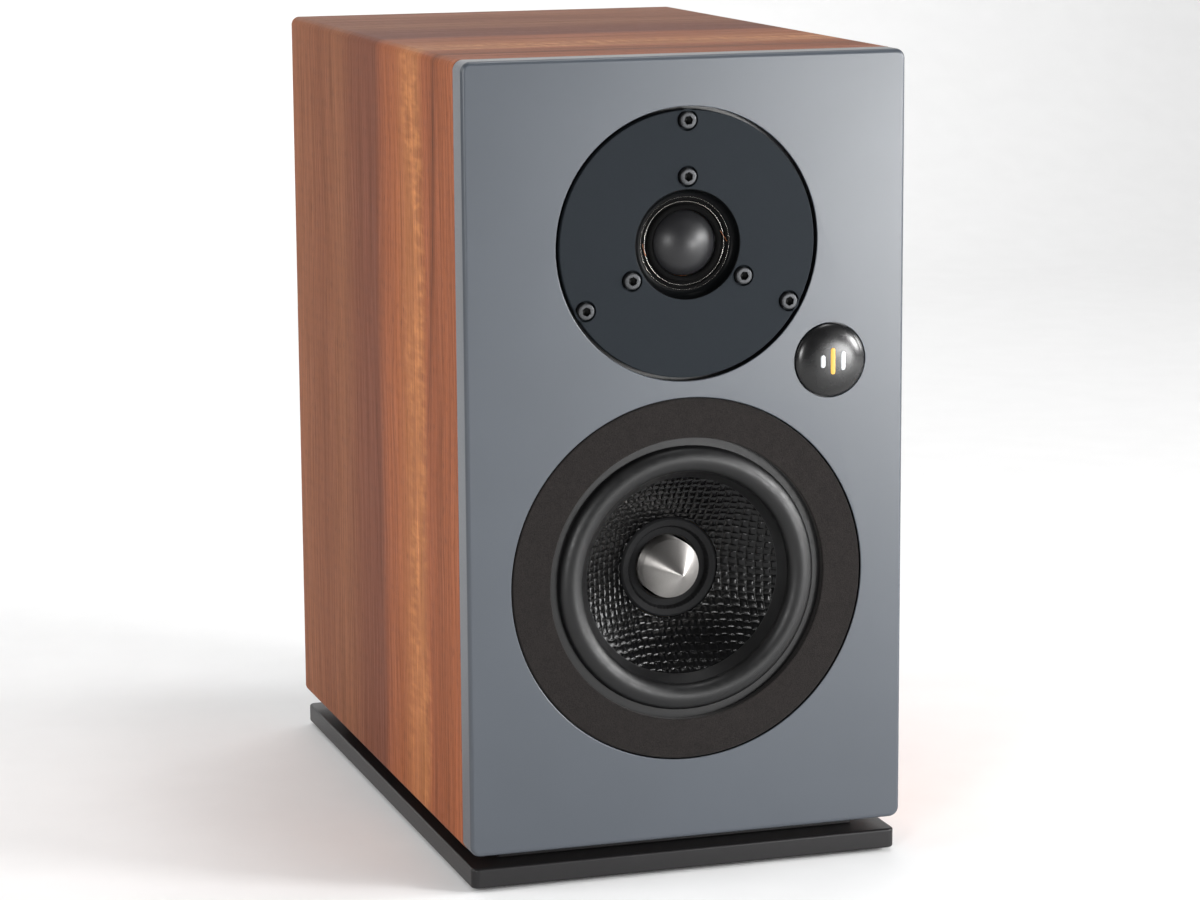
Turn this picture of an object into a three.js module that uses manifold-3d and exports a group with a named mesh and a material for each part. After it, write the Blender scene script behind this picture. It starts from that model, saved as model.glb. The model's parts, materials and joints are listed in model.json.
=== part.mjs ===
// Two-way bookshelf loudspeaker with a rear port, standing on a spaced plinth.
// Millimetres, +Z up, the front faces -Y. Inside the speaker group y is the depth behind
// the front plane of the baffle, and z is the height above the floor.
import * as THREE from "three";
import { mergeVertices } from "three/addons/utils/BufferGeometryUtils.js";
import Module from "manifold-3d";

const wasm = await Module();
wasm.setup();

// ---------------------------------------------------------------- driving dimensions
const foot = { radius: 9, height: 1.5, inset: 18 };
const plinth = { width: 178, length: 277, height: 8, front: 2, cornerRadius: 3 };
const spacer = { width: 150, length: 250, height: 4.5 };
const cabinet = {
  width: 180,
  height: 312,
  depth: 280,
  wall: 15,
  edgeRadius: 3.5,
  rearRim: 5,
  rearPanel: 12,
  bottom: foot.height + plinth.height + spacer.height,
};
const baffle = { thickness: 12, cornerRadius: 4, subThickness: 12 };
const brace = { front: 150, thickness: 12, rail: 20, bar: 16 };

// Heights are above the underside of the cabinet.
const tweeter = {
  height: 238.1,
  plateRadius: 52,
  plateThickness: 4,
  recessRadius: 53.4,
  bodyHole: 38,
  motorRadius: 36,
  mouthRadius: 21,
  throatRadius: 18.4,
  domeRadius: 12.75,
  domeHeight: 6.2,
  domeBase: 5.4,
  domeSkin: 0.4,
  skirtRear: 9.5,
  surroundRadius: 15.4,
  surroundSkin: 0.3,
  ledgeRadius: 16.7,
  ledgeDepth: 5.2,
  carrierRear: 8,
  coilFront: 6.6,
  topPlateRear: 12,
  magnetRear: 22,
  magnetBore: 18,
  yokeRear: 26.5,
  mountCircle: 48,
  motorCircle: 26.3,
};
const magnetGap = { inner: 0.85, outer: 0.95, coil: 0.1, wire: 0.4 };
const capScrew = {
  headRadius: 3.25,
  headHeight: 3.6,
  boreRadius: 4.1,
  boreDepth: 2.4,
  shankRadius: 1.85,
  holeRadius: 2.3,
  socketRadius: 1.75,
  socketDepth: 2,
  mountTip: 22,
  motorTip: 11.5,
};
const woofer = {
  height: 105.7,
  recessRadius: 72.5,
  recessDepth: 7,
  bodyHole: 62,
  flangeRadius: 71.8,
  trimRadius: 72.1,
  trimInner: 56.4,
  trimFront: 0.3,
  landDepth: 3.6,
  landRadius: 59.8,
  rubber: 0.5,
  rollOuter: 53,
  rollInner: 42.5,
  rollHeight: 4.4,
  coneOuter: 42.3,
  coneOuterDepth: 5.7,
  coneInner: 20.4,
  coneInnerDepth: 24.25,
  coneSkin: 1.05,
  lipRadius: 39.6,
  neckStep: 16.9,
  neckFront: 23.7,
  neckRear: 28.6,
  formerRadius: 13.2,
  formerFront: 27,
  formerWall: 0.4,
  windingWall: 0.6,
  windingLength: 14,
  spiderDepth: 35,
  spiderRadius: 36.5,
  cupRadius: 44,
  seatDepth: 41,
  seatThickness: 4,
  topPlateRadius: 40,
  topPlateThickness: 6,
  magnetRadius: 42.5,
  magnetBore: 22,
  magnetThickness: 16,
  yokeRadius: 38,
  yokeThickness: 6,
  poleGap: 0.5,
  plateGap: 0.5,
  plugRadius: 11.85,
  plugShoulder: 22,
  plugTip: 6.5,
  plugTaper: 0.55,
};
const basketWindow = { count: 6, width: 36, front: 15, inner: 30 };
const badge = {
  x: 58.9,
  height: 189.8,
  radius: 14.55,
  edgeRadius: 4,
  proud: 3.5,
  pocketDepth: 1.5,
  pocketGap: 0.35,
};
const port = {
  height: 232,
  bore: 21,
  wall: 2.5,
  front: 175,
  flareRadius: 11,
  flareLength: 18,
  flangeRadius: 38,
  proud: 2.5,
};
const terminal = {
  height: 78,
  plateWidth: 84,
  plateHeight: 56,
  plateThickness: 3,
  cornerRadius: 6,
  postSpacing: 30,
  postRadius: 3.5,
  postLength: 19,
  flangeRadius: 7,
  flangeHeight: 3,
  plugBore: 2.05,
  tailLength: 9,
  opening: { width: 56, height: 22 },
  washerThickness: 1.5,
  knobRadius: 7,
  knobLength: 13,
  knobGap: 0.4,
  flutes: 10,
  fluteDepth: 0.7,
};
const crossover = { length: 84, width: 104, thickness: 2, standoff: 4, front: 172, leg: 8 };
const dampingPad = { thickness: 14, gap: 0.3, front: 168, rear: 262, low: 92, high: 278 };
const leadRadius = 1.8;

const LARGE = 48; // facets round a recess in the baffle
const RING = 32; // facets round a large ring
const SMALL = 20; // facets round a motor part
const TINY = 10; // facets round a fastener

const halfWidth = cabinet.width / 2;
const innerHalf = halfWidth - cabinet.wall;
const floorZ = cabinet.bottom + cabinet.wall;
const ceilingZ = cabinet.bottom + cabinet.height - cabinet.wall;
const centreZ = cabinet.bottom + cabinet.height / 2;
const tweeterZ = cabinet.bottom + tweeter.height;
const wooferZ = cabinet.bottom + woofer.height;
const badgeZ = cabinet.bottom + badge.height;
const portZ = cabinet.bottom + port.height;
const terminalZ = cabinet.bottom + terminal.height;
const plateRear = cabinet.depth + terminal.plateThickness;
const knobFront = plateRear + terminal.flangeHeight + terminal.washerThickness + terminal.knobGap;
const knobRear = knobFront + terminal.knobLength;

// ---------------------------------------------------------------- materials
function finish(color, roughness, metalness = 0) {
  return new THREE.MeshStandardMaterial({ color, roughness, metalness });
}
const walnut = finish(0x8a5a42, 0.5);
const greyLacquer = finish(0x7a8087, 0.42);
const mdf = finish(0x8b7355, 0.85);
const blackSatin = finish(0x2b2a2b, 0.45);
const charcoal = finish(0x383c40, 0.5);
const blackGloss = finish(0x141415, 0.15);
const blackSilk = finish(0x1b1b1c, 0.45);
const blackRubber = finish(0x2a2a2c, 0.55);
const feltGrey = finish(0x3c3836, 0.95);
const carbonWeave = finish(0x1a1a1c, 0.35);
const aluminium = finish(0xb9b6b2, 0.3, 1);
const castAlloy = finish(0x4a4c50, 0.55, 0.6);
const zincSteel = finish(0x8d9196, 0.4, 1);
const ferrite = finish(0x3b3b3d, 0.7);
const screwGrey = finish(0x6a6f76, 0.4, 0.9);
const copper = finish(0xb4653a, 0.35, 1);
const spiderCloth = finish(0xc59a4a, 0.9);
const foam = finish(0x4a4a4c, 1);
const circuitGreen = finish(0x2e5a3c, 0.6);
const capacitorCase = finish(0xb8a24a, 0.4);
const ceramic = finish(0xd8d4c8, 0.7);
const gold = finish(0xcaa24e, 0.3, 1);
const redPlastic = finish(0xa01f1f, 0.35);
const wireSheath = finish(0x2a2a2a, 0.6);

// ---------------------------------------------------------------- solids
function toSolid(geometry) {
  const plain = geometry.index ? geometry.toNonIndexed() : geometry.clone();
  plain.deleteAttribute("normal");
  plain.deleteAttribute("uv");
  const merged = mergeVertices(plain, 1e-4);
  const mesh = new wasm.Mesh({
    numProp: 3,
    vertProperties: merged.attributes.position.array,
    triVerts: new Uint32Array(merged.index.array),
  });
  return new wasm.Manifold(mesh);
}

function toGeometry(solid) {
  const mesh = solid.getMesh();
  const geometry = new THREE.BufferGeometry();
  geometry.setAttribute("position", new THREE.BufferAttribute(mesh.vertProperties, 3));
  geometry.setIndex(new THREE.BufferAttribute(mesh.triVerts, 1));
  geometry.computeVertexNormals();
  return geometry;
}

function cut(geometry, ...tools) {
  return toGeometry(tools.reduce((left, tool) => left.subtract(toSolid(tool)), toSolid(geometry)));
}

function join(geometry, ...others) {
  return toGeometry(others.reduce((sum, other) => sum.add(toSolid(other)), toSolid(geometry)));
}

// A box given by its lowest and highest corners.
function block(low, high) {
  const size = high.map((value, i) => value - low[i]);
  const middle = high.map((value, i) => (value + low[i]) / 2);
  return new THREE.BoxGeometry(...size).translate(...middle);
}

// A solid turned about the Y axis; the profile is a list of [radius, depth].
function turned(profile, segments = RING) {
  const points = profile.map(([radius, depth]) => new THREE.Vector2(radius, depth));
  const area = points.reduce((sum, point, i) => sum + point.cross(points[(i + 1) % points.length]), 0);
  if (area < 0) points.reverse();
  if (points[0].x > 0 || points.at(-1).x > 0) points.push(points[0].clone());
  return new THREE.LatheGeometry(points, segments);
}

// A round bar along Y from one depth to another.
function bar(radius, from, to, segments = TINY) {
  const length = to - from;
  return new THREE.CylinderGeometry(radius, radius, length, segments).translate(0, from + length / 2, 0);
}

// A flat outline in X and Z, extruded along Y from one depth to another.
function slab(shape, from, to, curveSegments = 6) {
  const options = { depth: to - from, bevelEnabled: false, curveSegments };
  return new THREE.ExtrudeGeometry(shape, options).rotateX(Math.PI / 2).translate(0, to, 0);
}

function roundedRectangle(width, height, radius) {
  const x = width / 2 - radius;
  const y = height / 2 - radius;
  const shape = new THREE.Shape();
  shape.absarc(x, -y, radius, -Math.PI / 2, 0);
  shape.absarc(x, y, radius, 0, Math.PI / 2);
  shape.absarc(-x, y, radius, Math.PI / 2, Math.PI);
  shape.absarc(-x, -y, radius, Math.PI, Math.PI * 1.5);
  shape.closePath();
  return shape;
}

// Points of an arc given by its centre, radii and the angles at its ends, in degrees.
function arc(centreR, centreD, radiusR, radiusD, from, to, count) {
  return Array.from({ length: count + 1 }, (_, i) => {
    const angle = THREE.MathUtils.degToRad(from + ((to - from) * i) / count);
    return [centreR + radiusR * Math.cos(angle), centreD + radiusD * Math.sin(angle)];
  });
}

// Places round a circle in X and Z, clockwise from the top.
function roundTheClock(radius, count, firstDegrees = 0) {
  return Array.from({ length: count }, (_, i) => {
    const angle = THREE.MathUtils.degToRad(firstDegrees + (360 * i) / count);
    return [radius * Math.sin(angle), radius * Math.cos(angle)];
  });
}

function node(name, geometry, material, z = 0, x = 0) {
  const mesh = new THREE.Mesh(geometry, material);
  mesh.name = name;
  mesh.position.set(x, 0, z);
  return mesh;
}

const speaker = new THREE.Group();

// ---------------------------------------------------------------- cabinet
// One mitred board of the wrap: its outer face is at the given distance from the cabinet's middle.
function mitredBoard(length, distance, turn) {
  const { wall, edgeRadius: r } = cabinet;
  const half = length / 2;
  const shape = new THREE.Shape();
  shape.moveTo(-half + wall, wall - distance);
  shape.absarc(-half + r, r - distance, r, Math.PI * 1.25, Math.PI * 1.5);
  shape.absarc(half - r, r - distance, r, Math.PI * 1.5, Math.PI * 1.75);
  shape.lineTo(half - wall, wall - distance);
  shape.closePath();
  const board = slab(shape, baffle.thickness, cabinet.depth, 3).rotateY(turn);
  return cut(board, rearRebate());
}

function rearRebate() {
  const x = halfWidth - cabinet.rearRim;
  const z = cabinet.height / 2 - cabinet.rearRim;
  return block([-x, cabinet.depth - cabinet.rearPanel, -z], [x, cabinet.depth + 1, z]);
}

function buildWrap() {
  const { width, height } = cabinet;
  speaker.add(
    node("bottom_panel", mitredBoard(width, height / 2, 0), walnut, centreZ),
    node("top_panel", mitredBoard(width, height / 2, Math.PI), walnut, centreZ),
    node("left_side_panel", mitredBoard(height, width / 2, Math.PI / 2), walnut, centreZ),
    node("right_side_panel", mitredBoard(height, width / 2, -Math.PI / 2), walnut, centreZ),
  );
}

function screwPilots(from, to) {
  return roundTheClock(tweeter.mountCircle, 3).map(([x, z]) =>
    bar(capScrew.holeRadius, from, to).translate(x, 0, tweeterZ + z),
  );
}

function buildBaffle() {
  const outline = roundedRectangle(cabinet.width, cabinet.height, baffle.cornerRadius);
  const rear = baffle.thickness;
  const front = cut(
    slab(outline, 0, rear).translate(0, 0, centreZ),
    bar(woofer.recessRadius, -1, woofer.recessDepth, LARGE).translate(0, 0, wooferZ),
    bar(woofer.bodyHole, 0, rear + 1, RING).translate(0, 0, wooferZ),
    bar(tweeter.recessRadius, -1, tweeter.plateThickness, LARGE).translate(0, 0, tweeterZ),
    bar(tweeter.bodyHole, 0, rear + 1, RING).translate(0, 0, tweeterZ),
    bar(badge.radius + badge.pocketGap, -1, badge.pocketDepth, RING).translate(badge.x, 0, badgeZ),
    ...screwPilots(0, rear + 1),
  );
  speaker.add(node("front_baffle", front, greyLacquer));

  const subRear = rear + baffle.subThickness;
  const sub = cut(
    block([-innerHalf, rear, floorZ], [innerHalf, subRear, ceilingZ]),
    bar(woofer.bodyHole + 4, rear - 1, subRear + 1, RING).translate(0, 0, wooferZ),
    bar(tweeter.bodyHole + 3, rear - 1, subRear + 1, RING).translate(0, 0, tweeterZ),
    ...screwPilots(rear - 1, subRear + 1),
  );
  speaker.add(node("sub_baffle", sub, mdf));
}

function buildBadge() {
  const { radius, edgeRadius, proud, pocketDepth } = badge;
  const crown = 0.7;
  const shoulder = arc(radius - edgeRadius, 0, edgeRadius, proud - crown, 0, -90, 5);
  const profile = [[0, pocketDepth], [radius, pocketDepth], ...shoulder, [6, 0.2 - proud], [0, -proud]];
  speaker.add(node("badge_disc", turned(profile), blackGloss, badgeZ, badge.x));
}

function buildRearPanel() {
  const openX = terminal.opening.width / 2;
  const openZ = terminal.opening.height / 2;
  const x = halfWidth - cabinet.rearRim;
  const z = cabinet.height / 2 - cabinet.rearRim;
  const front = cabinet.depth - cabinet.rearPanel;
  const panel = cut(
    block([-x, front, -z], [x, cabinet.depth, z]).translate(0, 0, centreZ),
    bar(port.bore + port.flareRadius + 0.4, front - 1, cabinet.depth + 1, RING).translate(0, 0, portZ),
    block([-openX, front - 1, -openZ], [openX, cabinet.depth + 1, openZ]).translate(0, 0, terminalZ),
  );
  speaker.add(node("rear_panel", panel, blackSatin));
}

function buildBrace() {
  const { front, thickness, rail, bar: middleBar } = brace;
  const rear = front + thickness;
  const x = innerHalf - rail;
  const windows = [
    block([-x, front - 1, floorZ + rail], [x, rear + 1, centreZ - middleBar / 2]),
    block([-x, front - 1, centreZ + middleBar / 2], [x, rear + 1, ceilingZ - rail]),
  ];
  const frame = cut(block([-innerHalf, front, floorZ], [innerHalf, rear, ceilingZ]), ...windows);
  speaker.add(node("window_brace", frame, mdf));
}

function buildBase() {
  const outline = roundedRectangle(plinth.width, plinth.length, plinth.cornerRadius);
  const options = { depth: plinth.height, bevelEnabled: false, curveSegments: 4 };
  const middle = plinth.front + plinth.length / 2;
  const board = new THREE.ExtrudeGeometry(outline, options).translate(0, middle, foot.height);
  speaker.add(node("plinth", board, blackSatin));

  const low = foot.height + plinth.height;
  const y = cabinet.depth / 2;
  const raised = block(
    [-spacer.width / 2, y - spacer.length / 2, low],
    [spacer.width / 2, y + spacer.length / 2, cabinet.bottom],
  );
  speaker.add(node("plinth_spacer", raised, blackSatin));

  const footX = plinth.width / 2 - foot.inset;
  const footY = plinth.length / 2 - foot.inset;
  for (const [end, sideY] of [["front", -1], ["rear", 1]]) {
    for (const [side, sideX] of [["left", -1], ["right", 1]]) {
      const pad = new THREE.CylinderGeometry(foot.radius, foot.radius, foot.height, 16)
        .rotateX(Math.PI / 2)
        .translate(sideX * footX, middle + sideY * footY, foot.height / 2);
      speaker.add(node(`foot_pad_${end}_${side}`, pad, blackRubber));
    }
  }
}

function buildDampingPads() {
  const pad = dampingPad;
  for (const [side, sign] of [["left", -1], ["right", 1]]) {
    const outer = innerHalf - pad.gap;
    const xs = [sign * outer, sign * (outer - pad.thickness)].sort((a, b) => a - b);
    const low = [xs[0], pad.front, cabinet.bottom + pad.low];
    const high = [xs[1], pad.rear, cabinet.bottom + pad.high];
    speaker.add(node(`damping_pad_${side}`, block(low, high), foam));
  }
}

// ---------------------------------------------------------------- screws
// A socket cap screw whose head sits in a counterbore at the front plane.
function capScrewSolid(tipDepth) {
  const { headRadius, headHeight, boreDepth, shankRadius, socketRadius, socketDepth } = capScrew;
  const top = boreDepth - headHeight;
  const bevel = 0.5;
  const profile = [
    [0, top],
    [headRadius - bevel, top],
    [headRadius, top + bevel],
    [headRadius, boreDepth],
    [shankRadius, boreDepth],
    [shankRadius, tipDepth - 1],
    [0, tipDepth],
  ];
  return cut(turned(profile, TINY), bar(socketRadius, top - 1, top + socketDepth, 6));
}

// ---------------------------------------------------------------- tweeter
function tweeterBores(circle, throughRear) {
  return roundTheClock(circle, 3).flatMap(([x, z]) => [
    bar(capScrew.boreRadius, -1, capScrew.boreDepth).translate(x, 0, z),
    bar(capScrew.holeRadius, 0, throughRear).translate(x, 0, z),
  ]);
}

function buildTweeterPlate() {
  const { plateRadius, plateThickness: rear, mouthRadius, throatRadius } = tweeter;
  const disc = turned(
    [
      [mouthRadius, 0],
      [plateRadius - 0.4, 0],
      [plateRadius, 0.4],
      [plateRadius, rear],
      [throatRadius, rear],
      [throatRadius + 0.8, rear / 2],
    ],
    RING,
  );
  const circles = [tweeter.mountCircle, tweeter.motorCircle];
  const bores = circles.flatMap((circle) => tweeterBores(circle, rear + 1));
  speaker.add(node("tweeter_faceplate", cut(disc, ...bores), charcoal, tweeterZ));

  roundTheClock(tweeter.mountCircle, 3).forEach(([x, z], i) => {
    const screw = capScrewSolid(capScrew.mountTip);
    speaker.add(node(`tweeter_mount_screw_${i + 1}`, screw, screwGrey, tweeterZ + z, x));
  });
  roundTheClock(tweeter.motorCircle, 3).forEach(([x, z], i) => {
    const screw = capScrewSolid(capScrew.motorTip);
    speaker.add(node(`tweeter_motor_screw_${i + 1}`, screw, screwGrey, tweeterZ + z, x));
  });
}

function buildTweeterDome() {
  const { domeRadius, domeHeight, domeBase, domeSkin: skin, skirtRear, coilFront, topPlateRear } = tweeter;
  const sphere = (domeRadius ** 2 + domeHeight ** 2) / (2 * domeHeight);
  const centre = domeBase - domeHeight + sphere;
  const reach = THREE.MathUtils.radToDeg(Math.asin(domeRadius / sphere));
  const innerReach = THREE.MathUtils.radToDeg(Math.asin((domeRadius - skin) / (sphere - skin)));
  const outer = arc(0, centre, sphere, sphere, -90, -90 + reach, 5);
  const inner = arc(0, centre, sphere - skin, sphere - skin, -90 + innerReach, -90, 5);
  outer[0][0] = 0;
  inner.at(-1)[0] = 0;
  const profile = [...outer, [domeRadius, skirtRear], [domeRadius - skin, skirtRear], ...inner];
  speaker.add(node("tweeter_dome", turned(profile, SMALL), blackSilk, tweeterZ));

  const coilInner = domeRadius + magnetGap.coil;
  const coil = [
    [coilInner, coilFront],
    [coilInner + magnetGap.wire, coilFront],
    [coilInner + magnetGap.wire, topPlateRear],
    [coilInner, topPlateRear],
  ];
  speaker.add(node("tweeter_voice_coil", turned(coil, SMALL), copper, tweeterZ));
}

function buildTweeterSurround() {
  const { surroundRadius: outer, surroundSkin: skin, ledgeRadius, ledgeDepth: seat } = tweeter;
  const inner = tweeter.domeRadius + magnetGap.coil;
  const middle = (inner + outer) / 2;
  const half = (outer - inner) / 2;
  const rollHeight = 1.1;
  const front = arc(middle, seat - skin, half, rollHeight, -180, 0, 4);
  const back = arc(middle, seat, half - skin, rollHeight - skin, 0, -180, 4);
  const profile = [...front, [ledgeRadius, seat - skin], [ledgeRadius, seat], ...back, [inner, seat]];
  speaker.add(node("tweeter_surround", turned(profile, SMALL), blackSilk, tweeterZ));
}

function motorHoles(radius, from, to) {
  return roundTheClock(tweeter.motorCircle, 3).map(([x, z]) => bar(radius, from, to).translate(x, 0, z));
}

function buildTweeterMotor() {
  const { motorRadius, plateThickness, domeRadius, surroundRadius, ledgeRadius, ledgeDepth } = tweeter;
  const { carrierRear, topPlateRear, magnetRear, magnetBore, yokeRear } = tweeter;
  const wellRadius = ledgeRadius + 0.2;
  const carrier = turned([
    [wellRadius, plateThickness],
    [motorRadius - 1, plateThickness],
    [motorRadius - 1, carrierRear],
    [surroundRadius, carrierRear],
    [surroundRadius, ledgeDepth],
    [wellRadius, ledgeDepth],
  ]);
  const holes = motorHoles(capScrew.holeRadius, plateThickness - 1, carrierRear + 1);
  speaker.add(node("tweeter_carrier_ring", cut(carrier, ...holes), blackSatin, tweeterZ));

  const gapRadius = domeRadius + magnetGap.outer;
  const topPlate = turned(
    [
      [gapRadius, carrierRear],
      [motorRadius, carrierRear],
      [motorRadius, topPlateRear],
      [gapRadius, topPlateRear],
    ],
    SMALL,
  );
  const taps = motorHoles(capScrew.holeRadius, carrierRear - 1, topPlateRear + 1);
  speaker.add(node("tweeter_top_plate", cut(topPlate, ...taps), zincSteel, tweeterZ));

  const magnet = [
    [magnetBore, topPlateRear],
    [motorRadius, topPlateRear],
    [motorRadius, magnetRear],
    [magnetBore, magnetRear],
  ];
  speaker.add(node("tweeter_magnet", turned(magnet, SMALL), ferrite, tweeterZ));

  const pole = domeRadius - magnetGap.inner;
  const yoke = [
    [0, carrierRear],
    [pole, carrierRear],
    [pole, magnetRear],
    [motorRadius - 2, magnetRear],
    [motorRadius - 2, yokeRear],
    [0, yokeRear],
  ];
  speaker.add(node("tweeter_yoke", turned(yoke, SMALL), zincSteel, tweeterZ));
}

// ---------------------------------------------------------------- woofer
function buildBasket() {
  const { flangeRadius, landDepth, landRadius, rubber, recessDepth, rollOuter } = woofer;
  const { seatDepth, seatThickness, spiderDepth, spiderRadius, cupRadius, formerRadius } = woofer;
  const step = landDepth + rubber;
  const seatRear = seatDepth + seatThickness;
  const coilHole = formerRadius + 3.3;
  const shoulder = basketWindow.front - 1;
  const spiderSeat = spiderDepth + 0.6;
  const shell = turned([
    [rollOuter + 1, step],
    [landRadius + 0.5, step],
    [landRadius + 0.5, landDepth],
    [flangeRadius, landDepth],
    [flangeRadius, recessDepth],
    [landRadius - 0.3, recessDepth],
    [rollOuter + 5, shoulder],
    [cupRadius, seatDepth - 2],
    [cupRadius, seatRear],
    [coilHole, seatRear],
    [coilHole, seatDepth],
    [spiderRadius - 1.5, seatDepth],
    [spiderRadius - 1.5, spiderSeat],
    [cupRadius - 3, spiderSeat],
    [rollOuter + 1, shoulder],
  ]);
  const windows = Array.from({ length: basketWindow.count }, (_, i) => {
    const { count, width, front, inner } = basketWindow;
    const opening = block([-width / 2, front, inner], [width / 2, spiderDepth - 1, flangeRadius]);
    return opening.rotateY((Math.PI * (2 * i + 1)) / count);
  });
  speaker.add(node("woofer_basket", cut(shell, ...windows), castAlloy, wooferZ));
}

function buildTrimRing() {
  const { trimRadius, trimInner, trimFront, landDepth } = woofer;
  const ring = [
    [trimInner, trimFront],
    [trimRadius, trimFront],
    [trimRadius, landDepth],
    [trimInner, landDepth],
  ];
  speaker.add(node("woofer_trim_ring", turned(ring, RING), feltGrey, wooferZ));
}

// Depth of the cone's front surface at a radius.
function coneDepth(radius) {
  const { coneOuter, coneOuterDepth, coneInner, coneInnerDepth } = woofer;
  const slope = (coneInnerDepth - coneOuterDepth) / (coneInner - coneOuter);
  return coneOuterDepth + (radius - coneOuter) * slope;
}

function buildSurround() {
  const { landDepth, landRadius, rubber, rollOuter, rollInner, rollHeight, lipRadius: lip } = woofer;
  const middle = (rollOuter + rollInner) / 2;
  const half = (rollOuter - rollInner) / 2;
  const inset = 0.05; // glue line between the rubber and the cone
  const base = landDepth + rubber;
  const front = arc(middle, landDepth, half, rollHeight, 0, -180, 6);
  const back = arc(middle, base, half - rubber, rollHeight, -180, 0, 6);
  const profile = [
    [landRadius, landDepth],
    ...front,
    [lip, coneDepth(lip) - rubber],
    [lip, coneDepth(lip) - inset],
    [rollInner, coneDepth(rollInner) - inset],
    ...back,
    [rollOuter - rubber, base],
    [landRadius, base],
  ].filter(([r, d], i, all) => i === 0 || Math.hypot(r - all[i - 1][0], d - all[i - 1][1]) > 0.01);
  speaker.add(node("woofer_surround", turned(profile, RING), blackRubber, wooferZ));
}

function buildCone() {
  const { coneOuter, coneInner, coneSkin, neckStep, neckFront, neckRear, formerFront } = woofer;
  const cone = [
    [coneInner, coneDepth(coneInner)],
    [coneOuter, coneDepth(coneOuter)],
    [coneOuter, coneDepth(coneOuter) + coneSkin],
    [coneInner, coneDepth(coneInner) + coneSkin],
  ];
  speaker.add(node("woofer_cone", turned(cone, RING), carbonWeave, wooferZ));

  const outer = coneInner - 0.2;
  const inner = woofer.formerRadius + 0.1;
  const innerStep = formerFront - 0.4;
  const ring = [
    [inner, innerStep],
    [neckStep - 0.5, innerStep],
    [neckStep, neckFront + 0.4],
    [outer - 0.9, neckFront],
    [outer, neckFront + 0.8],
    [outer, neckRear],
    [inner, neckRear],
  ];
  speaker.add(node("woofer_neck_ring", turned(ring, SMALL), blackRubber, wooferZ));
}

function buildVoiceCoil() {
  const { formerRadius, formerFront, formerWall, windingWall, windingLength, seatDepth } = woofer;
  const inner = formerRadius - formerWall;
  const outer = formerRadius + windingWall;
  const coil = [
    [inner, formerFront],
    [formerRadius, formerFront],
    [formerRadius, seatDepth],
    [outer, seatDepth],
    [outer, seatDepth + windingLength],
    [inner, seatDepth + windingLength],
  ];
  speaker.add(node("woofer_voice_coil", turned(coil, SMALL), copper, wooferZ));
}

// Corrugated cloth ring between the coil former and the basket's ledge.
function buildSpider() {
  const { formerRadius, spiderDepth, spiderRadius } = woofer;
  const inner = formerRadius + 0.1;
  const cloth = 0.5;
  const waves = 7;
  const ripple = 0.9;
  const from = formerRadius + 3.8;
  const to = spiderRadius - 2;
  const tops = Array.from({ length: waves }, (_, i) => {
    const radius = from + ((to - from) * i) / (waves - 1);
    return [radius, i % 2 ? spiderDepth : spiderDepth - 2 * ripple];
  });
  const bottoms = tops.map(([radius, depth]) => [radius, depth + cloth]).reverse();
  const profile = [
    [inner, spiderDepth],
    ...tops,
    [spiderRadius, spiderDepth],
    [spiderRadius, spiderDepth + cloth],
    ...bottoms,
    [inner, spiderDepth + cloth],
  ];
  speaker.add(node("woofer_spider", turned(profile, SMALL), spiderCloth, wooferZ));
}

function buildWooferMotor() {
  const { formerRadius, formerWall, windingWall, plateGap, poleGap, seatDepth, seatThickness } = woofer;
  const { topPlateRadius, topPlateThickness, magnetRadius, magnetBore, magnetThickness } = woofer;
  const { yokeRadius, yokeThickness } = woofer;
  const plateFront = seatDepth + seatThickness;
  const plateRear = plateFront + topPlateThickness;
  const magnetRear = plateRear + magnetThickness;
  const yokeRear = magnetRear + yokeThickness;
  const gap = formerRadius + windingWall + plateGap;
  const topPlate = [
    [gap, plateFront],
    [topPlateRadius, plateFront],
    [topPlateRadius, plateRear],
    [gap, plateRear],
  ];
  speaker.add(node("woofer_top_plate", turned(topPlate, SMALL), zincSteel, wooferZ));

  const magnet = [
    [magnetBore, plateRear],
    [magnetRadius, plateRear],
    [magnetRadius, magnetRear],
    [magnetBore, magnetRear],
  ];
  speaker.add(node("woofer_magnet", turned(magnet, SMALL), ferrite, wooferZ));

  const pole = formerRadius - formerWall - poleGap;
  const yoke = [
    [0, plateFront],
    [pole, plateFront],
    [pole, magnetRear],
    [yokeRadius, magnetRear],
    [yokeRadius, yokeRear - 1],
    [yokeRadius - 1, yokeRear],
    [0, yokeRear],
  ];
  speaker.add(node("woofer_yoke", turned(yoke, SMALL), zincSteel, wooferZ));

  buildPhasePlug(plateFront);
}

// A pointed nose between a straight cone and a rounded one, on a plain shank.
function buildPhasePlug(seat) {
  const { plugRadius, plugShoulder, plugTip, plugTaper } = woofer;
  const length = plugShoulder - plugTip;
  const steps = 8;
  const nose = Array.from({ length: steps + 1 }, (_, i) => {
    const along = i / steps;
    const swell = plugTaper * along + (1 - plugTaper) * Math.sin((along * Math.PI) / 2);
    return [plugRadius * swell, plugTip + length * along];
  });
  const plug = turned([...nose, [plugRadius, seat], [0, seat]], SMALL);
  speaker.add(node("woofer_phase_plug", plug, aluminium, wooferZ));
}

// ---------------------------------------------------------------- rear port and terminals
function buildPort() {
  const { bore, wall, front, flareRadius, flareLength, flangeRadius, proud } = port;
  const face = cabinet.depth;
  const bend = face - flareLength;
  const flare = arc(bore + flareRadius, bend, flareRadius, flareLength + proud, 180, 90, 4);
  const outside = arc(bore + flareRadius, bend, flareRadius - wall, flareLength, 90, 180, 4);
  const profile = [
    [bore + 1, front],
    [bore, front + 1],
    ...flare,
    [flangeRadius - 1, face + proud],
    [flangeRadius, face + proud - 1],
    [flangeRadius, face],
    ...outside,
    [bore + wall, front],
  ];
  speaker.add(node("port_tube", turned(profile), blackSatin, portZ));
}

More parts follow.
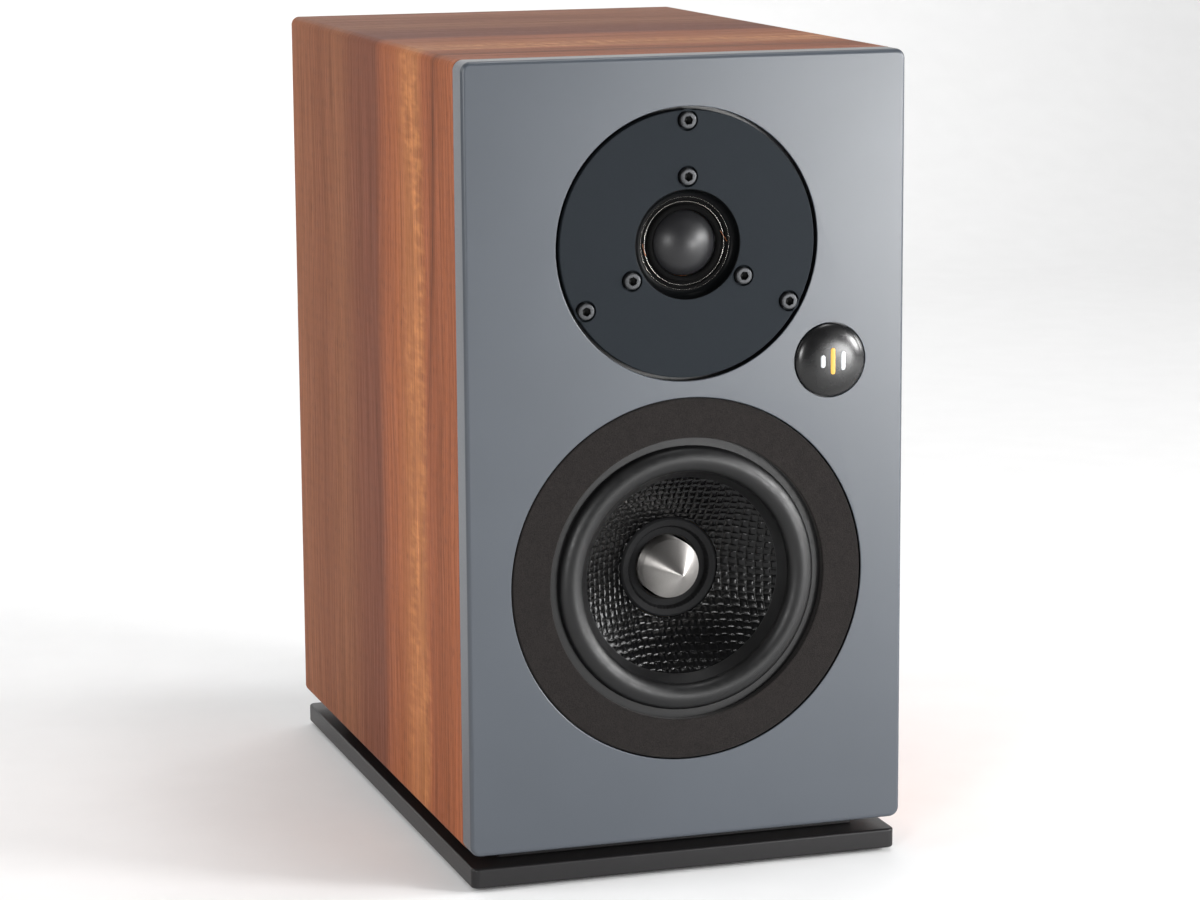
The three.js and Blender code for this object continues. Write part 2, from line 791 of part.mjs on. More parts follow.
// Outline of a round grip with shallow flutes.
function flutedOutline(radius, flutes, depth) {
  const shape = new THREE.Shape();
  const steps = flutes * 3;
  const points = Array.from({ length: steps }, (_, i) => {
    const angle = (2 * Math.PI * i) / steps;
    const reach = radius - (i % 3 === 1 ? depth : 0);
    return new THREE.Vector2(reach * Math.cos(angle), reach * Math.sin(angle));
  });
  shape.setFromPoints(points);
  return shape;
}

function buildTerminals() {
  const { plateWidth, plateHeight, cornerRadius, postSpacing, postRadius, postLength } = terminal;
  const { flangeRadius, flangeHeight, washerThickness, knobRadius, plugBore, tailLength } = terminal;
  const z = terminalZ;
  const posts = [["red", -postSpacing / 2, redPlastic], ["black", postSpacing / 2, blackGloss]];
  const plate = cut(
    slab(roundedRectangle(plateWidth, plateHeight, cornerRadius), cabinet.depth, plateRear, 4),
    ...posts.map(([, x]) => bar(postRadius + 0.3, cabinet.depth - 1, plateRear + 1).translate(x, 0, 0)),
  );
  speaker.add(node("terminal_plate", plate, blackSatin, z));

  const flangeRear = plateRear + flangeHeight;
  const tip = flangeRear + postLength - 5;
  for (const [colour, x, plastic] of posts) {
    const post = turned(
      [
        [0, cabinet.depth - tailLength],
        [postRadius, cabinet.depth - tailLength],
        [postRadius, plateRear],
        [flangeRadius, plateRear],
        [flangeRadius, flangeRear],
        [postRadius, flangeRear],
        [postRadius, tip],
        [plugBore, tip],
        [plugBore, flangeRear + 1],
        [0, flangeRear + 1],
      ],
      SMALL,
    );
    speaker.add(node(`binding_post_${colour}`, post, gold, z, x));

    const washerFront = flangeRear + 0.1;
    const washer = [
      [postRadius + 0.4, washerFront],
      [knobRadius - 0.5, washerFront],
      [knobRadius - 0.5, washerFront + washerThickness],
      [postRadius + 0.4, washerFront + washerThickness],
    ];
    speaker.add(node(`post_washer_${colour}`, turned(washer, SMALL), gold, z, x));

    const grip = slab(flutedOutline(knobRadius, terminal.flutes, terminal.fluteDepth), knobFront, knobRear);
    const knob = cut(grip, bar(postRadius + 0.45, knobFront - 1, knobRear + 1, SMALL));
    speaker.add(node(`post_knob_${colour}`, knob, plastic, z, x));
  }
}

// ---------------------------------------------------------------- crossover and wiring
function buildCrossover() {
  const { length, width, thickness, standoff, front, leg } = crossover;
  const low = floorZ + standoff;
  const top = low + thickness;
  const board = block([-width / 2, front, low], [width / 2, front + length, top]);
  const legs = [-1, 1].flatMap((sx) =>
    [leg, length - leg].map((y) => {
      const x = sx * (width / 2 - leg);
      const half = leg / 2;
      return block([x - half, front + y - half, floorZ], [x + half, front + y + half, low + 0.5]);
    }),
  );
  speaker.add(node("crossover_board", join(board, ...legs), circuitGreen));

  const upright = (profile, x, y) => turned(profile, 24).rotateX(Math.PI / 2).translate(x, y, top);
  const lowpass = [[9, 0], [21, 0], [21, 17], [9, 17]];
  speaker.add(node("woofer_inductor", upright(lowpass, -26, front + 54), copper));
  const highpass = [[7, 0], [14, 0], [14, 13], [7, 13]];
  speaker.add(node("tweeter_inductor", upright(highpass, 30, front + 62), copper));

  const lying = (radius, half, y) => {
    const can = new THREE.CylinderGeometry(radius, radius, 2 * half, SMALL).rotateZ(Math.PI / 2);
    return can.translate(0, y, top + radius);
  };
  speaker.add(node("tweeter_capacitor", lying(8, 16, front + 12), capacitorCase, 0, 28));
  speaker.add(node("woofer_capacitor", lying(9, 18, front + 13), capacitorCase, 0, -24));
  const resistor = block([10, front + 34, top], [44, front + 42, top + 8]);
  speaker.add(node("tweeter_resistor", resistor, ceramic));
}

// A two-core lead along hand-picked points.
function lead(points, steps) {
  const curve = new THREE.CatmullRomCurve3(points.map((point) => new THREE.Vector3(...point)));
  const section = new THREE.Shape().absarc(0, 0, leadRadius, 0, 2 * Math.PI);
  return new THREE.ExtrudeGeometry(section, { extrudePath: curve, steps, curveSegments: 4 });
}

function buildWiring() {
  const base = cabinet.bottom;
  const wooferPath = [
    [-47, 169.5, base + 22],
    [-47, 160, base + 42],
    [-47, 130, base + 44],
    [-44, 80, base + 36],
    [-30, 48, base + 46],
    [-22, 43, base + 60.5],
  ];
  speaker.add(node("woofer_lead", lead(wooferPath, 18), wireSheath));

  const tweeterPath = [
    [47, 169.5, base + 22],
    [50, 165, base + 60],
    [49, 146, base + 120],
    [46, 120, base + 190],
    [30, 60, base + 232],
    [12, 29.5, base + 238],
  ];
  speaker.add(node("tweeter_lead", lead(tweeterPath, 24), wireSheath));

  const inputPath = [
    [-5, 258.5, base + 22],
    [-6, 262, base + 30],
    [-8, 262, base + 55],
    [-14, 266, base + 74],
  ];
  speaker.add(node("input_lead", lead(inputPath, 12), wireSheath));
}

buildWrap();
buildBaffle();
buildBadge();
buildRearPanel();
buildBrace();
buildBase();
buildDampingPads();
buildTweeterPlate();
buildTweeterDome();
buildTweeterSurround();
buildTweeterMotor();
buildBasket();
buildTrimRing();
buildSurround();
buildCone();
buildVoiceCoil();
buildSpider();
buildWooferMotor();
buildPort();
buildTerminals();
buildCrossover();
buildWiring();

// The origin is on the floor at the middle of the whole object's length and width.
speaker.position.y = (badge.proud - knobRear) / 2;
const part = new THREE.Group();
part.add(speaker);
export default part;
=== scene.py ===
import json
import math

import bmesh
import bpy
import numpy as np
from mathutils import Matrix, Vector
from mathutils.geometry import tessellate_polygon


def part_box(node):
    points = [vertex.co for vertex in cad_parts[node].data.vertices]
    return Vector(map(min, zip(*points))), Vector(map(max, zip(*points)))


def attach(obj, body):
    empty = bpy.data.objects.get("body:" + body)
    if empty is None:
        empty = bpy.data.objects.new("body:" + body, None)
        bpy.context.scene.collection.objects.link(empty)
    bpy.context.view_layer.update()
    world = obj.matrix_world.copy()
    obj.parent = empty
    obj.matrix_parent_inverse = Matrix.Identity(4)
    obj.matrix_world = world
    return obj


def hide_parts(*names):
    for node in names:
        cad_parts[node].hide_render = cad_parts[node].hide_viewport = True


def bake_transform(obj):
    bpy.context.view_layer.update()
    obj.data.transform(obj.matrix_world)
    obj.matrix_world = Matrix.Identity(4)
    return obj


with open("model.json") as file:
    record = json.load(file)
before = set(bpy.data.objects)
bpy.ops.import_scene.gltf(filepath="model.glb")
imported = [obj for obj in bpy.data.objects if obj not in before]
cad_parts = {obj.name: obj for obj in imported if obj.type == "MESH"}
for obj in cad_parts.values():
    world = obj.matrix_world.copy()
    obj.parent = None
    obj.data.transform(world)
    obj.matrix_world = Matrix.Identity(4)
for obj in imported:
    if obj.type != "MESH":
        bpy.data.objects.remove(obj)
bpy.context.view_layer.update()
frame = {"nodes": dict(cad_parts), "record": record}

MM = 0.001
PHOTO_WIDTH = 1200
RECORD = frame["record"]
SLOT_OF = {part["node"]: part["material_slot"] for part in RECORD["subparts"]}
BODY_OF = {node: body for body, nodes in RECORD["behaviour"]["bodies"].items() for node in nodes}
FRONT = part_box("front_baffle")[0].y / MM  # depths below are millimetres behind this plane


def middle_of(node):
    low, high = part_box(node)
    return (low.x + high.x) / 2 / MM, (low.z + high.z) / 2 / MM


TWEETER = middle_of("tweeter_faceplate")
WOOFER = middle_of("woofer_trim_ring")
BADGE = middle_of("badge_disc")
PORT = middle_of("port_tube")
TERMINALS = middle_of("terminal_plate")
MOUTH = 21.6  # radius of the tweeter horn's mouth
TWEETER_RECESS, WOOFER_RECESS, BADGE_RECESS = 53.4, 72.5, 14.9  # radii of the baffle's round recesses

# ---------------------------------------------------------------- camera
FOCAL_PIXELS = 3656
CAMERA_PLACE = (-0.4602, -1.4725, 0.4319)
CAMERA_TURN, CAMERA_DIP, CAMERA_ROLL = (math.radians(angle) for angle in (17.76, 10.52, -0.38))


def make_camera():
    data = bpy.data.cameras.new("camera")
    data.sensor_width = 36
    data.lens = data.sensor_width * FOCAL_PIXELS / PHOTO_WIDTH
    camera = bpy.data.objects.new("camera", data)
    bpy.context.scene.collection.objects.link(camera)
    forward = Vector((
        math.sin(CAMERA_TURN) * math.cos(CAMERA_DIP),
        math.cos(CAMERA_TURN) * math.cos(CAMERA_DIP),
        -math.sin(CAMERA_DIP),
    ))
    right = Vector((math.cos(CAMERA_TURN), -math.sin(CAMERA_TURN), 0))
    axes = Matrix((right, right.cross(forward), -forward)).transposed()
    roll = Matrix.Rotation(CAMERA_ROLL, 3, "Z")
    camera.matrix_world = Matrix.Translation(CAMERA_PLACE) @ (axes @ roll).to_4x4()
    bpy.context.scene.camera = camera


make_camera()


# ---------------------------------------------------------------- materials
def rgb(code):
    """Linear colour of a hex code."""
    values = [int(code[i : i + 2], 16) / 255 for i in (0, 2, 4)]
    return (*[v / 12.92 if v <= 0.04045 else ((v + 0.055) / 1.055) ** 2.4 for v in values], 1)


class Look:
    """A material under construction. Texture lengths are millimetres in the row frame."""

    def __init__(self, name, color, roughness, **constants):
        self.material = bpy.data.materials.new(name)
        self.material.use_nodes = True
        self.tree = self.material.node_tree
        self.shader = self.tree.nodes["Principled BSDF"]
        self.shader.inputs["Base Color"].default_value = rgb(color)
        self.shader.inputs["Roughness"].default_value = roughness
        for key, value in constants.items():
            socket = "Specular IOR Level" if key == "specular" else key.replace("_", " ").title()
            self.shader.inputs[socket].default_value = value
        self.color = rgb(color)
        place = self.node("ShaderNodeTexCoord").outputs["Object"]
        self.place = self.vector("SCALE", place, scale=1 / MM)

    def node(self, kind, inputs=(), **settings):
        node = self.tree.nodes.new(kind)
        for key, value in settings.items():
            setattr(node, key, value)
        for key, value in dict(inputs).items():
            if isinstance(value, bpy.types.NodeSocket):
                self.tree.links.new(value, node.inputs[key])
            else:
                node.inputs[key].default_value = value
        return node

    def math(self, operation, *values, clamp=False):
        return self.node("ShaderNodeMath", enumerate(values), operation=operation, use_clamp=clamp).outputs[0]

    def vector(self, operation, *values, scale=None):
        inputs = dict(enumerate(values))
        if scale is not None:
            inputs["Scale"] = scale
        node = self.node("ShaderNodeVectorMath", inputs, operation=operation)
        return node.outputs["Value" if operation == "LENGTH" else "Vector"]

    def noise(self, place, detail=2, roughness=0.5, distortion=0):
        """Smooth noise with a grain of about 1 in the units of place."""
        inputs = {"Vector": place, "Scale": 1, "Detail": detail}
        inputs |= {"Roughness": roughness, "Distortion": distortion}
        return self.node("ShaderNodeTexNoise", inputs).outputs[0]

    def grain(self, size, detail=2, roughness=0.5):
        """Noise with grains of that size in millimetres, one number or one for each axis."""
        sizes = size if isinstance(size, tuple) else (size,) * 3
        return self.noise(self.vector("MULTIPLY", self.place, tuple(1 / s for s in sizes)), detail, roughness)

    def fit(self, value, low, high, to_low=0.0, to_high=1.0):
        inputs = {0: value, 1: low, 2: high, 3: to_low, 4: to_high}
        return self.node("ShaderNodeMapRange", inputs).outputs[0]

    def ramp(self, factor, *stops):
        node = self.node("ShaderNodeValToRGB", {0: factor})
        elements = node.color_ramp.elements
        while len(elements) < len(stops):
            elements.new(1)
        for element, (position, color) in zip(elements, stops):
            element.position = position
            element.color = rgb(color) if isinstance(color, str) else (color, color, color, 1)
        return node.outputs[0]

    def mix(self, factor, a, b, blend="MIX"):
        inputs = {0: factor, 6: rgb(a) if isinstance(a, str) else a, 7: rgb(b) if isinstance(b, str) else b}
        return self.node("ShaderNodeMix", inputs, data_type="RGBA", blend_type=blend).outputs[2]

    def tint(self, factor, low, high):
        """The base colour, made darker or lighter by the factor."""
        gain = self.fit(factor, 0.3, 0.7, low, high)
        color = self.node("ShaderNodeVectorMath", {0: self.color[:3], "Scale": gain}, operation="SCALE")
        self.wire("Base Color", color.outputs["Vector"])

    def bump(self, height, depth, normal=None, strength=1):
        inputs = {"Height": height, "Distance": depth * MM, "Strength": strength}
        if normal is not None:
            inputs["Normal"] = normal
        return self.node("ShaderNodeBump", inputs).outputs[0]

    def away(self, x, z, middle):
        """Distance from an axis along the depth through a middle point."""
        across = self.math("SUBTRACT", x, middle[0])
        up = self.math("SUBTRACT", z, middle[1])
        squares = self.math("ADD", self.math("MULTIPLY", across, across), self.math("MULTIPLY", up, up))
        return self.math("SQRT", squares)

    def wire(self, key, value):
        self.tree.links.new(value, self.shader.inputs[key])

    def vary(self, size, tint, roughness, depth, detail=3):
        """Mottling of colour, roughness and height from one noise."""
        grain = self.grain(size, detail)
        self.tint(grain, *tint)
        self.wire("Roughness", self.fit(grain, 0.3, 0.7, *roughness))
        self.wire("Normal", self.bump(grain, depth))
        return self


def walnut():
    look = Look("walnut", "96604a", 0.55, specular=0.09)
    grain = look.node("ShaderNodeAttribute", attribute_name="grain").outputs["Vector"]
    parts = look.node("ShaderNodeSeparateXYZ", {0: grain}).outputs
    across, along, painted_sheen = parts

    def field(across_size, along_size, detail=2, roughness=0.5, source=None):
        place = look.node("ShaderNodeCombineXYZ", {
            0: look.math("DIVIDE", source or across, across_size),
            1: look.math("DIVIDE", along, along_size),
        })
        return look.noise(place.outputs[0], detail, roughness)

    wander = look.fit(field(70, 220), 0, 1, -9, 9)
    ripple = look.fit(field(9, 60), 0, 1, -1.6, 1.6)
    bent = look.math("ADD", look.math("ADD", across, wander), ripple)
    share = look.math("DIVIDE", bent, 280)
    color = look.ramp(
        share, (0.03, "a4674a"), (0.10, "955c40"), (0.16, "8f573c"), (0.20, "9b6045"), (0.24, "b07b56"),
        (0.31, "ab7450"), (0.37, "9f6444"), (0.44, "965d43"), (0.475, "73473a"), (0.60, "784b3a"),
        (0.70, "8b5f48"), (0.82, "81533d"), (0.93, "8e6049"),
    )
    # broad streaks of darker and warmer wood
    streaks = look.fit(field(6, 260, 3, 0.6, bent), 0.38, 0.62)
    color = look.mix(look.math("MULTIPLY", streaks, 0.3), color, "6f4634")
    # chatoyance in the light band: real figure, painted lighter in patches as its shifting sheen
    figure = look.fit(field(14, 4.2, 2, 0.5), 0.42, 0.64)
    band = look.math("MULTIPLY", look.fit(bent, 54, 64), look.fit(bent, 98, 80))
    patches = look.fit(field(24, 70, 2), 0.42, 0.6)
    figure_sheen = look.math("MULTIPLY", look.math("MULTIPLY", figure, band), look.math("MULTIPLY", patches, 0.5))
    color = look.mix(figure_sheen, color, "d59c6c")
    # long fibres, fine lines and pores
    fibres = look.fit(field(1.7, 120, 4, 0.6, bent), 0.36, 0.64, 0.82, 1.14)
    lines = look.fit(field(0.55, 45, 3, 0.6, bent), 0.36, 0.66, 0.8, 1.14)
    gain = look.math("MULTIPLY", fibres, lines)
    color = look.vector("SCALE", color, scale=gain)
    pores = look.fit(field(0.34, 6, 1, 0.5, bent), 0.58, 0.68)
    color = look.mix(look.math("MULTIPLY", pores, 0.5), color, "432619")
    # one dark heart line that curves away from the front edge
    drop = look.math("MAXIMUM", look.math("MULTIPLY", along, -1), 0)
    curve = look.math("MULTIPLY", look.math("POWER", look.math("DIVIDE", drop, 136), 1.7), 13)
    line = look.math("ADD", 40, curve)
    gap = look.math("ABSOLUTE", look.math("SUBTRACT", look.math("ADD", across, ripple), line))
    fade = look.fit(drop, 235, 90)
    heart = look.math("MULTIPLY", look.fit(gap, 0.9, 0.15), fade)
    halo = look.math("MULTIPLY", look.fit(gap, 5.0, 0.3), look.math("MULTIPLY", fade, 0.4))
    dark = look.math("MAXIMUM", look.math("MULTIPLY", heart, 0.8), halo)
    color = look.mix(dark, color, "4a2a1f")
    # painted reflection: the sides are coloured warmer and darker, and where painted_sheen is 1, on the top
    # board, paler and cooler, as its reflected light
    warm = look.vector("MULTIPLY", color, (0.98, 0.79, 0.58))
    color = look.mix(painted_sheen, warm, look.vector("MULTIPLY", color, (1.0, 0.94, 0.9)))
    look.wire("Base Color", color)
    look.wire("Roughness", look.fit(gain, 0.75, 1.2, 0.62, 0.5))
    relief = look.math("SUBTRACT", look.math("MULTIPLY", lines, 0.6), pores)
    look.wire("Normal", look.bump(relief, 0.02, strength=0.7))
    return look.material


def grey_lacquer(recesses):
    """Sprayed lacquer; recesses are (middle, radius) of the round recesses, whose walls get painted shade,
    near-black.
    """
    look = Look("grey_lacquer", "40454c", 0.3)
    x, depth, z = look.node("ShaderNodeSeparateXYZ", {0: look.place}).outputs
    inside = 0
    for middle, radius in recesses:
        inside = look.math("MAXIMUM", look.math("LESS_THAN", look.away(x, z, middle), radius + 0.1), inside)
    sunk = look.math("GREATER_THAN", depth, FRONT + 0.25)
    recess_shade = look.math("MULTIPLY", inside, sunk)
    shade = look.fit(look.grain(45, 2), 0.3, 0.7, 0.97, 1.03)
    color = look.vector("SCALE", look.color[:3], scale=shade)
    # painted shade: the walls inside the recesses are coloured near-black
    look.wire("Base Color", look.mix(recess_shade, color, "0a0a0b"))
    look.wire("Roughness", look.fit(look.grain(1.2, 3), 0.3, 0.7, 0.29, 0.33))
    peel = look.bump(look.grain(1.6, 2), 0.004)
    look.wire("Normal", look.bump(look.grain(0.25, 1), 0.0012, peel))
    return look.material


def felt():
    look = Look("felt_ring", "1a1716", 0.95, sheen_weight=0.05, sheen_roughness=0.5, specular=0.2)
    fine, coarse = look.grain(0.55, 3, 0.75), look.grain(2.2, 2)
    speckle = look.math("ADD", look.math("MULTIPLY", fine, 0.8), look.math("MULTIPLY", coarse, 0.2))
    look.tint(speckle, 0.35, 1.75)
    look.wire("Normal", look.bump(look.grain(1.1, 2), 0.08, look.bump(fine, 0.1)))
    return look.material


def rubber():
    look = Look("rubber_black", "09090a", 0.42, specular=0.4)
    fine = look.grain(0.35, 2)
    look.tint(look.grain(6, 3), 0.85, 1.15)
    look.wire("Roughness", look.fit(look.grain(2.5, 3), 0.3, 0.7, 0.36, 0.48))
    look.wire("Normal", look.bump(fine, 0.012))
    return look.material


def weave():
    look = Look("cone_weave", "050506", 0.2, specular=0.28)
    fibre = look.grain(0.16, 2, 0.6)
    lift = look.node("ShaderNodeAttribute", attribute_name="lift").outputs["Fac"]
    # colour mottled by the fibres, and painted shade: the weave's low places, where lift is small, are coloured
    # darker
    look.tint(look.math("MULTIPLY", fibre, look.fit(lift, 0.3, 0.9)), 0.3, 2.4)
    gloss = look.fit(fibre, 0.3, 0.7, 0.13, 0.22)
    look.wire("Roughness", look.math("ADD", gloss, look.fit(lift, 0.7, 0.25, 0, 0.08)))
    look.wire("Normal", look.bump(fibre, 0.015))
    return look.material


def brushed(name, color, roughness, scratch):
    """Turned metal: fine grooves round each piece's own axis show as a stretched highlight."""
    look = Look(name, color, roughness, metallic=1, anisotropic=0.97, anisotropic_rotation=0.25)
    grooves = look.grain((0.6, 0.12, 0.6), 3, 0.6)
    look.tint(grooves, 0.88, 1.08)
    look.wire("Roughness", look.fit(grooves, 0.3, 0.7, roughness * 0.8, roughness * 1.25))
    look.wire("Normal", look.bump(grooves, scratch))
    look.wire("Tangent", look.node("ShaderNodeTangent", direction_type="RADIAL", axis="Y").outputs[0])
    return look.material


def speckled(name, color, roughness, size, depth, spread=0.1, **constants):
    look = Look(name, color, roughness, **constants)
    look.vary(size, (1 - spread, 1 + spread), (roughness * 0.88, min(1, roughness * 1.12)), depth)
    return look.material


def charcoal():
    """Fine satin powder coat; the horn's mouth is painted blacker as shade, and made smoother."""
    look = Look("charcoal_plate", "1f2327", 0.6, specular=0.06)
    x, _, z = look.node("ShaderNodeSeparateXYZ", {0: look.place}).outputs
    horn = look.math("LESS_THAN", look.away(x, z, TWEETER), MOUTH - 0.1)
    fine = look.grain(0.4, 3)
    color = look.vector("SCALE", look.color[:3], scale=look.fit(fine, 0.3, 0.7, 0.9, 1.1))
    # painted shade: the horn's mouth is coloured near-black
    look.wire("Base Color", look.mix(horn, color, "060708"))
    satin = look.fit(fine, 0.3, 0.7, 0.54, 0.66)
    look.wire("Roughness", look.math("SUBTRACT", satin, look.math("MULTIPLY", horn, 0.22)))
    look.wire("Normal", look.bump(fine, 0.006))
    return look.material


def screw_steel():
    """Dark plated steel, with painted shade, near-black, where the mesh's "shaded" attribute is 1."""
    look = Look("screw_steel", "3a3b3d", 0.42, metallic=0.7)
    grain = look.grain(0.5, 3)
    lit = look.math("SUBTRACT", 1, look.node("ShaderNodeAttribute", attribute_name="shaded").outputs["Fac"])
    gain = look.math("MULTIPLY", look.fit(grain, 0.3, 0.7, 0.88, 1.12), lit)
    look.wire("Base Color", look.vector("SCALE", look.color[:3], scale=gain))
    look.wire("Roughness", look.fit(grain, 0.3, 0.7, 0.37, 0.47))
    look.wire("Normal", look.bump(grain, 0.006))
    return look.material


def windings(name, color, pitch):
    """Enamelled wire: turns a pitch apart round a coil."""
    look = Look(name, color, 0.3, metallic=0.9, coat_weight=0.5)
    height = look.node("ShaderNodeSeparateXYZ", {0: look.place}).outputs[2]
    turns = look.math("SINE", look.math("MULTIPLY", height, 2 * math.pi / pitch))
    # painted shade: the grooves between the turns are coloured darker
    look.tint(look.fit(turns, -1, 1, 0.3, 0.7), 0.6, 1.1)
    look.wire("Normal", look.bump(turns, pitch / 4))
    return look.material


MATERIALS = {
    "walnut_veneer": walnut(),
    "grey_lacquer": grey_lacquer([
        (TWEETER, TWEETER_RECESS), (WOOFER, WOOFER_RECESS), (BADGE, BADGE_RECESS),
    ]),
    "mdf_board": speckled("mdf_board", "9a7f5c", 0.85, 0.8, 0.03, 0.2),
    "black_lacquer": speckled("black_lacquer", "181718", 0.38, 0.5, 0.006, 0.1, specular=0.3),
    "rubber_black": rubber(),
    "badge_gloss": speckled("badge_gloss", "0a0a0b", 0.27, 8, 0.002, 0.2, specular=0.5),
    "acoustic_foam": speckled("acoustic_foam", "45464a", 0.95, 1.2, 0.3, 0.35, sheen_weight=0.3),
    "charcoal_plate": charcoal(),
    "black_plastic": speckled("black_plastic", "1a1a1b", 0.4, 0.6, 0.01, 0.15),
    "silk_dome": speckled("silk_dome", "19191b", 0.4, 0.35, 0.008, 0.15, specular=0.42),
    "copper_wire": windings("copper_wire", "c4713f", 0.5),
    "zinc_steel": speckled("zinc_steel", "a4a7aa", 0.34, 2.5, 0.01, 0.12, metallic=1),
    "ferrite_magnet": speckled("ferrite_magnet", "36363a", 0.7, 1, 0.03, 0.2),
    "screw_steel": screw_steel(),
    "cast_alloy": speckled("cast_alloy", "54565a", 0.6, 0.7, 0.04, 0.15, metallic=0.5),
    "felt_ring": felt(),
    "cone_weave": weave(),
    "spider_cloth": speckled("spider_cloth", "c59a4a", 0.9, 0.5, 0.06, 0.25, sheen_weight=0.3),
    "polished_aluminium": brushed("polished_aluminium", "b9b6b3", 0.37, 0.002),
    "gold_plate": brushed("gold_plate", "d9ab52", 0.24, 0.003),
    "red_plastic": speckled("red_plastic", "a31d1d", 0.32, 1.5, 0.006, 0.06),
    "black_grip": speckled("black_grip", "19191a", 0.34, 1.5, 0.006, 0.1),
    "circuit_board": speckled("circuit_board", "2b5a39", 0.45, 3, 0.01, 0.15, coat_weight=0.4),
    "capacitor_film": speckled("capacitor_film", "b8a04a", 0.35, 3, 0.01, 0.08, coat_weight=0.5),
    "cement_resistor": speckled("cement_resistor", "d6d1c4", 0.8, 0.8, 0.05, 0.08),
    "wire_sheath": speckled("wire_sheath", "2a2a2b", 0.45, 1, 0.01, 0.1),
}
RING_WIRE = speckled("ring_wire", "8c8a86", 0.22, 0.6, 0.003, 0.1, metallic=1)
MATTE_BLACK = speckled("matte_black", "060606", 0.8, 0.8, 0.01, 0.2, specular=0.06)
NECK_RUBBER = speckled("neck_rubber", "131314", 0.7, 0.5, 0.02, 0.15, specular=0.15)
FORMER_PAPER = speckled("former_paper", "161412", 0.8, 0.6, 0.01, 0.2, specular=0.2)
SILVER_PRINT = speckled("silver_print", "a4a7a9", 0.35, 3, 0.002, 0.04, metallic=0.6)
WARM_PRINT = speckled("warm_print", "c9982f", 0.4, 3, 0.002, 0.04)


# ---------------------------------------------------------------- outlines and meshes
def quarter(steps):
    return [math.pi / 2 * i / steps for i in range(steps + 1)]


def disc(radius, segments, middle=(0, 0), turn=0.0):
    """A round outline as a function of how far it is inset."""
    angles = [turn + 2 * math.pi * i / segments for i in range(segments)]

    def at(inset):
        r = radius - inset
        return [(middle[0] + r * math.sin(a), middle[1] + r * math.cos(a)) for a in angles]

    return at


def panel(width, height, corner, steps, middle=(0, 0)):
    """A rectangular outline with round corners as a function of how far it is inset."""

    def at(inset):
        r = max(corner - inset, 0.02)
        x, z = width / 2 - inset - r, height / 2 - inset - r
        corners = [(x, z, 0), (x, -z, 1), (-x, -z, 2), (-x, z, 3)]
        return [
            (middle[0] + cx + r * math.sin(a + turn), middle[1] + cz + r * math.cos(a + turn))
            for cx, cz, turn in ((cx, cz, k * math.pi / 2) for cx, cz, k in corners)
            for a in quarter(steps)
        ]

    return at


def soften(radius, steps, sign=1, depth=0.0):
    """Rows of (inset, depth) round a front edge; sign -1 is for the edge of a hole."""
    return [(sign * radius * (1 - math.sin(a)), depth + radius * (1 - math.cos(a))) for a in quarter(steps)]


def plate(outline, rows, holes=()):
    """A flat piece with holes; rows of (inset, depth) run front to back along its edge and each hole's."""
    verts, faces = [], []
    back = rows[-1][1]

    def skin(shape, its_rows):
        loops = []
        for inset, depth in its_rows:
            points = shape(inset)
            loops.append(range(len(verts), len(verts) + len(points)))
            verts.extend((x, depth, z) for x, z in points)
        for a, b in zip(loops, loops[1:]):
            faces.extend((a[i - 1], a[i], b[i], b[i - 1]) for i in range(len(a)))
        return loops[0], loops[-1]

    def close(loops):
        order = [i for loop in loops for i in loop]
        flat = [[Vector((verts[i][0], verts[i][2], 0)) for i in loop] for loop in loops]
        faces.extend(tuple(order[i] for i in triangle) for triangle in tessellate_polygon(flat))

    ends = [(skin(shape, its_rows), its_rows[-1][1]) for shape, its_rows in [(outline, rows), *holes]]
    close([first for (first, _), _ in ends])
    close([last for (_, last), depth in ends if depth == back])
    for (_, last), depth in ends:
        if depth != back:
            close([last])
    return verts, faces


def lathe(profile, segments, ripple=None):
    """A closed profile of (radius, depth) turned about Y; ripple(radius, depth, angles) gives the radii."""
    verts, faces, rings = [], [], []
    angles = np.arange(segments) * (2 * math.pi / segments)
    for radius, depth in profile:
        if radius < 1e-6:
            rings.append([len(verts)] * segments)
            verts.append((0.0, depth, 0.0))
            continue
        radii = np.full(segments, radius) if ripple is None else ripple(radius, depth, angles)
        rings.append(list(range(len(verts), len(verts) + segments)))
        verts.extend(zip(radii * np.sin(angles), [depth] * segments, radii * np.cos(angles)))
    for a, b in zip(rings, rings[1:] + rings[:1]):
        for i in range(segments):
            face = dict.fromkeys((a[i - 1], a[i], b[i], b[i - 1]))
            if len(face) > 2:
                faces.append(tuple(face))
    return verts, faces


def rounded(points, steps=5):
    """A closed outline in which a point with a third number is a corner of that radius."""
    out = []
    for i, point in enumerate(points):
        corner = Vector(point[:2])
        if len(point) == 2:
            out.append(tuple(corner))
            continue
        radius = point[2]
        before = (Vector(points[i - 1][:2]) - corner).normalized()
        after = (Vector(points[(i + 1) % len(points)][:2]) - corner).normalized()
        half = before.angle(after) / 2
        middle = corner + (before + after).normalized() * (radius / math.sin(half))
        start = corner + before * (radius / math.tan(half)) - middle
        end = corner + after * (radius / math.tan(half)) - middle
        sweep = start.angle_signed(end)
        out += [tuple(middle + Matrix.Rotation(-sweep * k / steps, 2) @ start) for k in range(steps + 1)]
    return out


def arc(centre, radii, start, end, steps):
    angles = [math.radians(start + (end - start) * i / steps) for i in range(steps + 1)]
    return [(centre[0] + radii[0] * math.cos(a), centre[1] + radii[1] * math.sin(a)) for a in angles]


def moved(part, x=0.0, depth=0.0, z=0.0):
    verts, faces = part
    return [(a + x, b + depth, c + z) for a, b, c in verts], faces


def upright(part):
    """Turns a shape whose axis is depth so that its axis is height."""
    verts, faces = part
    return [(x, z, depth) for x, depth, z in verts], faces


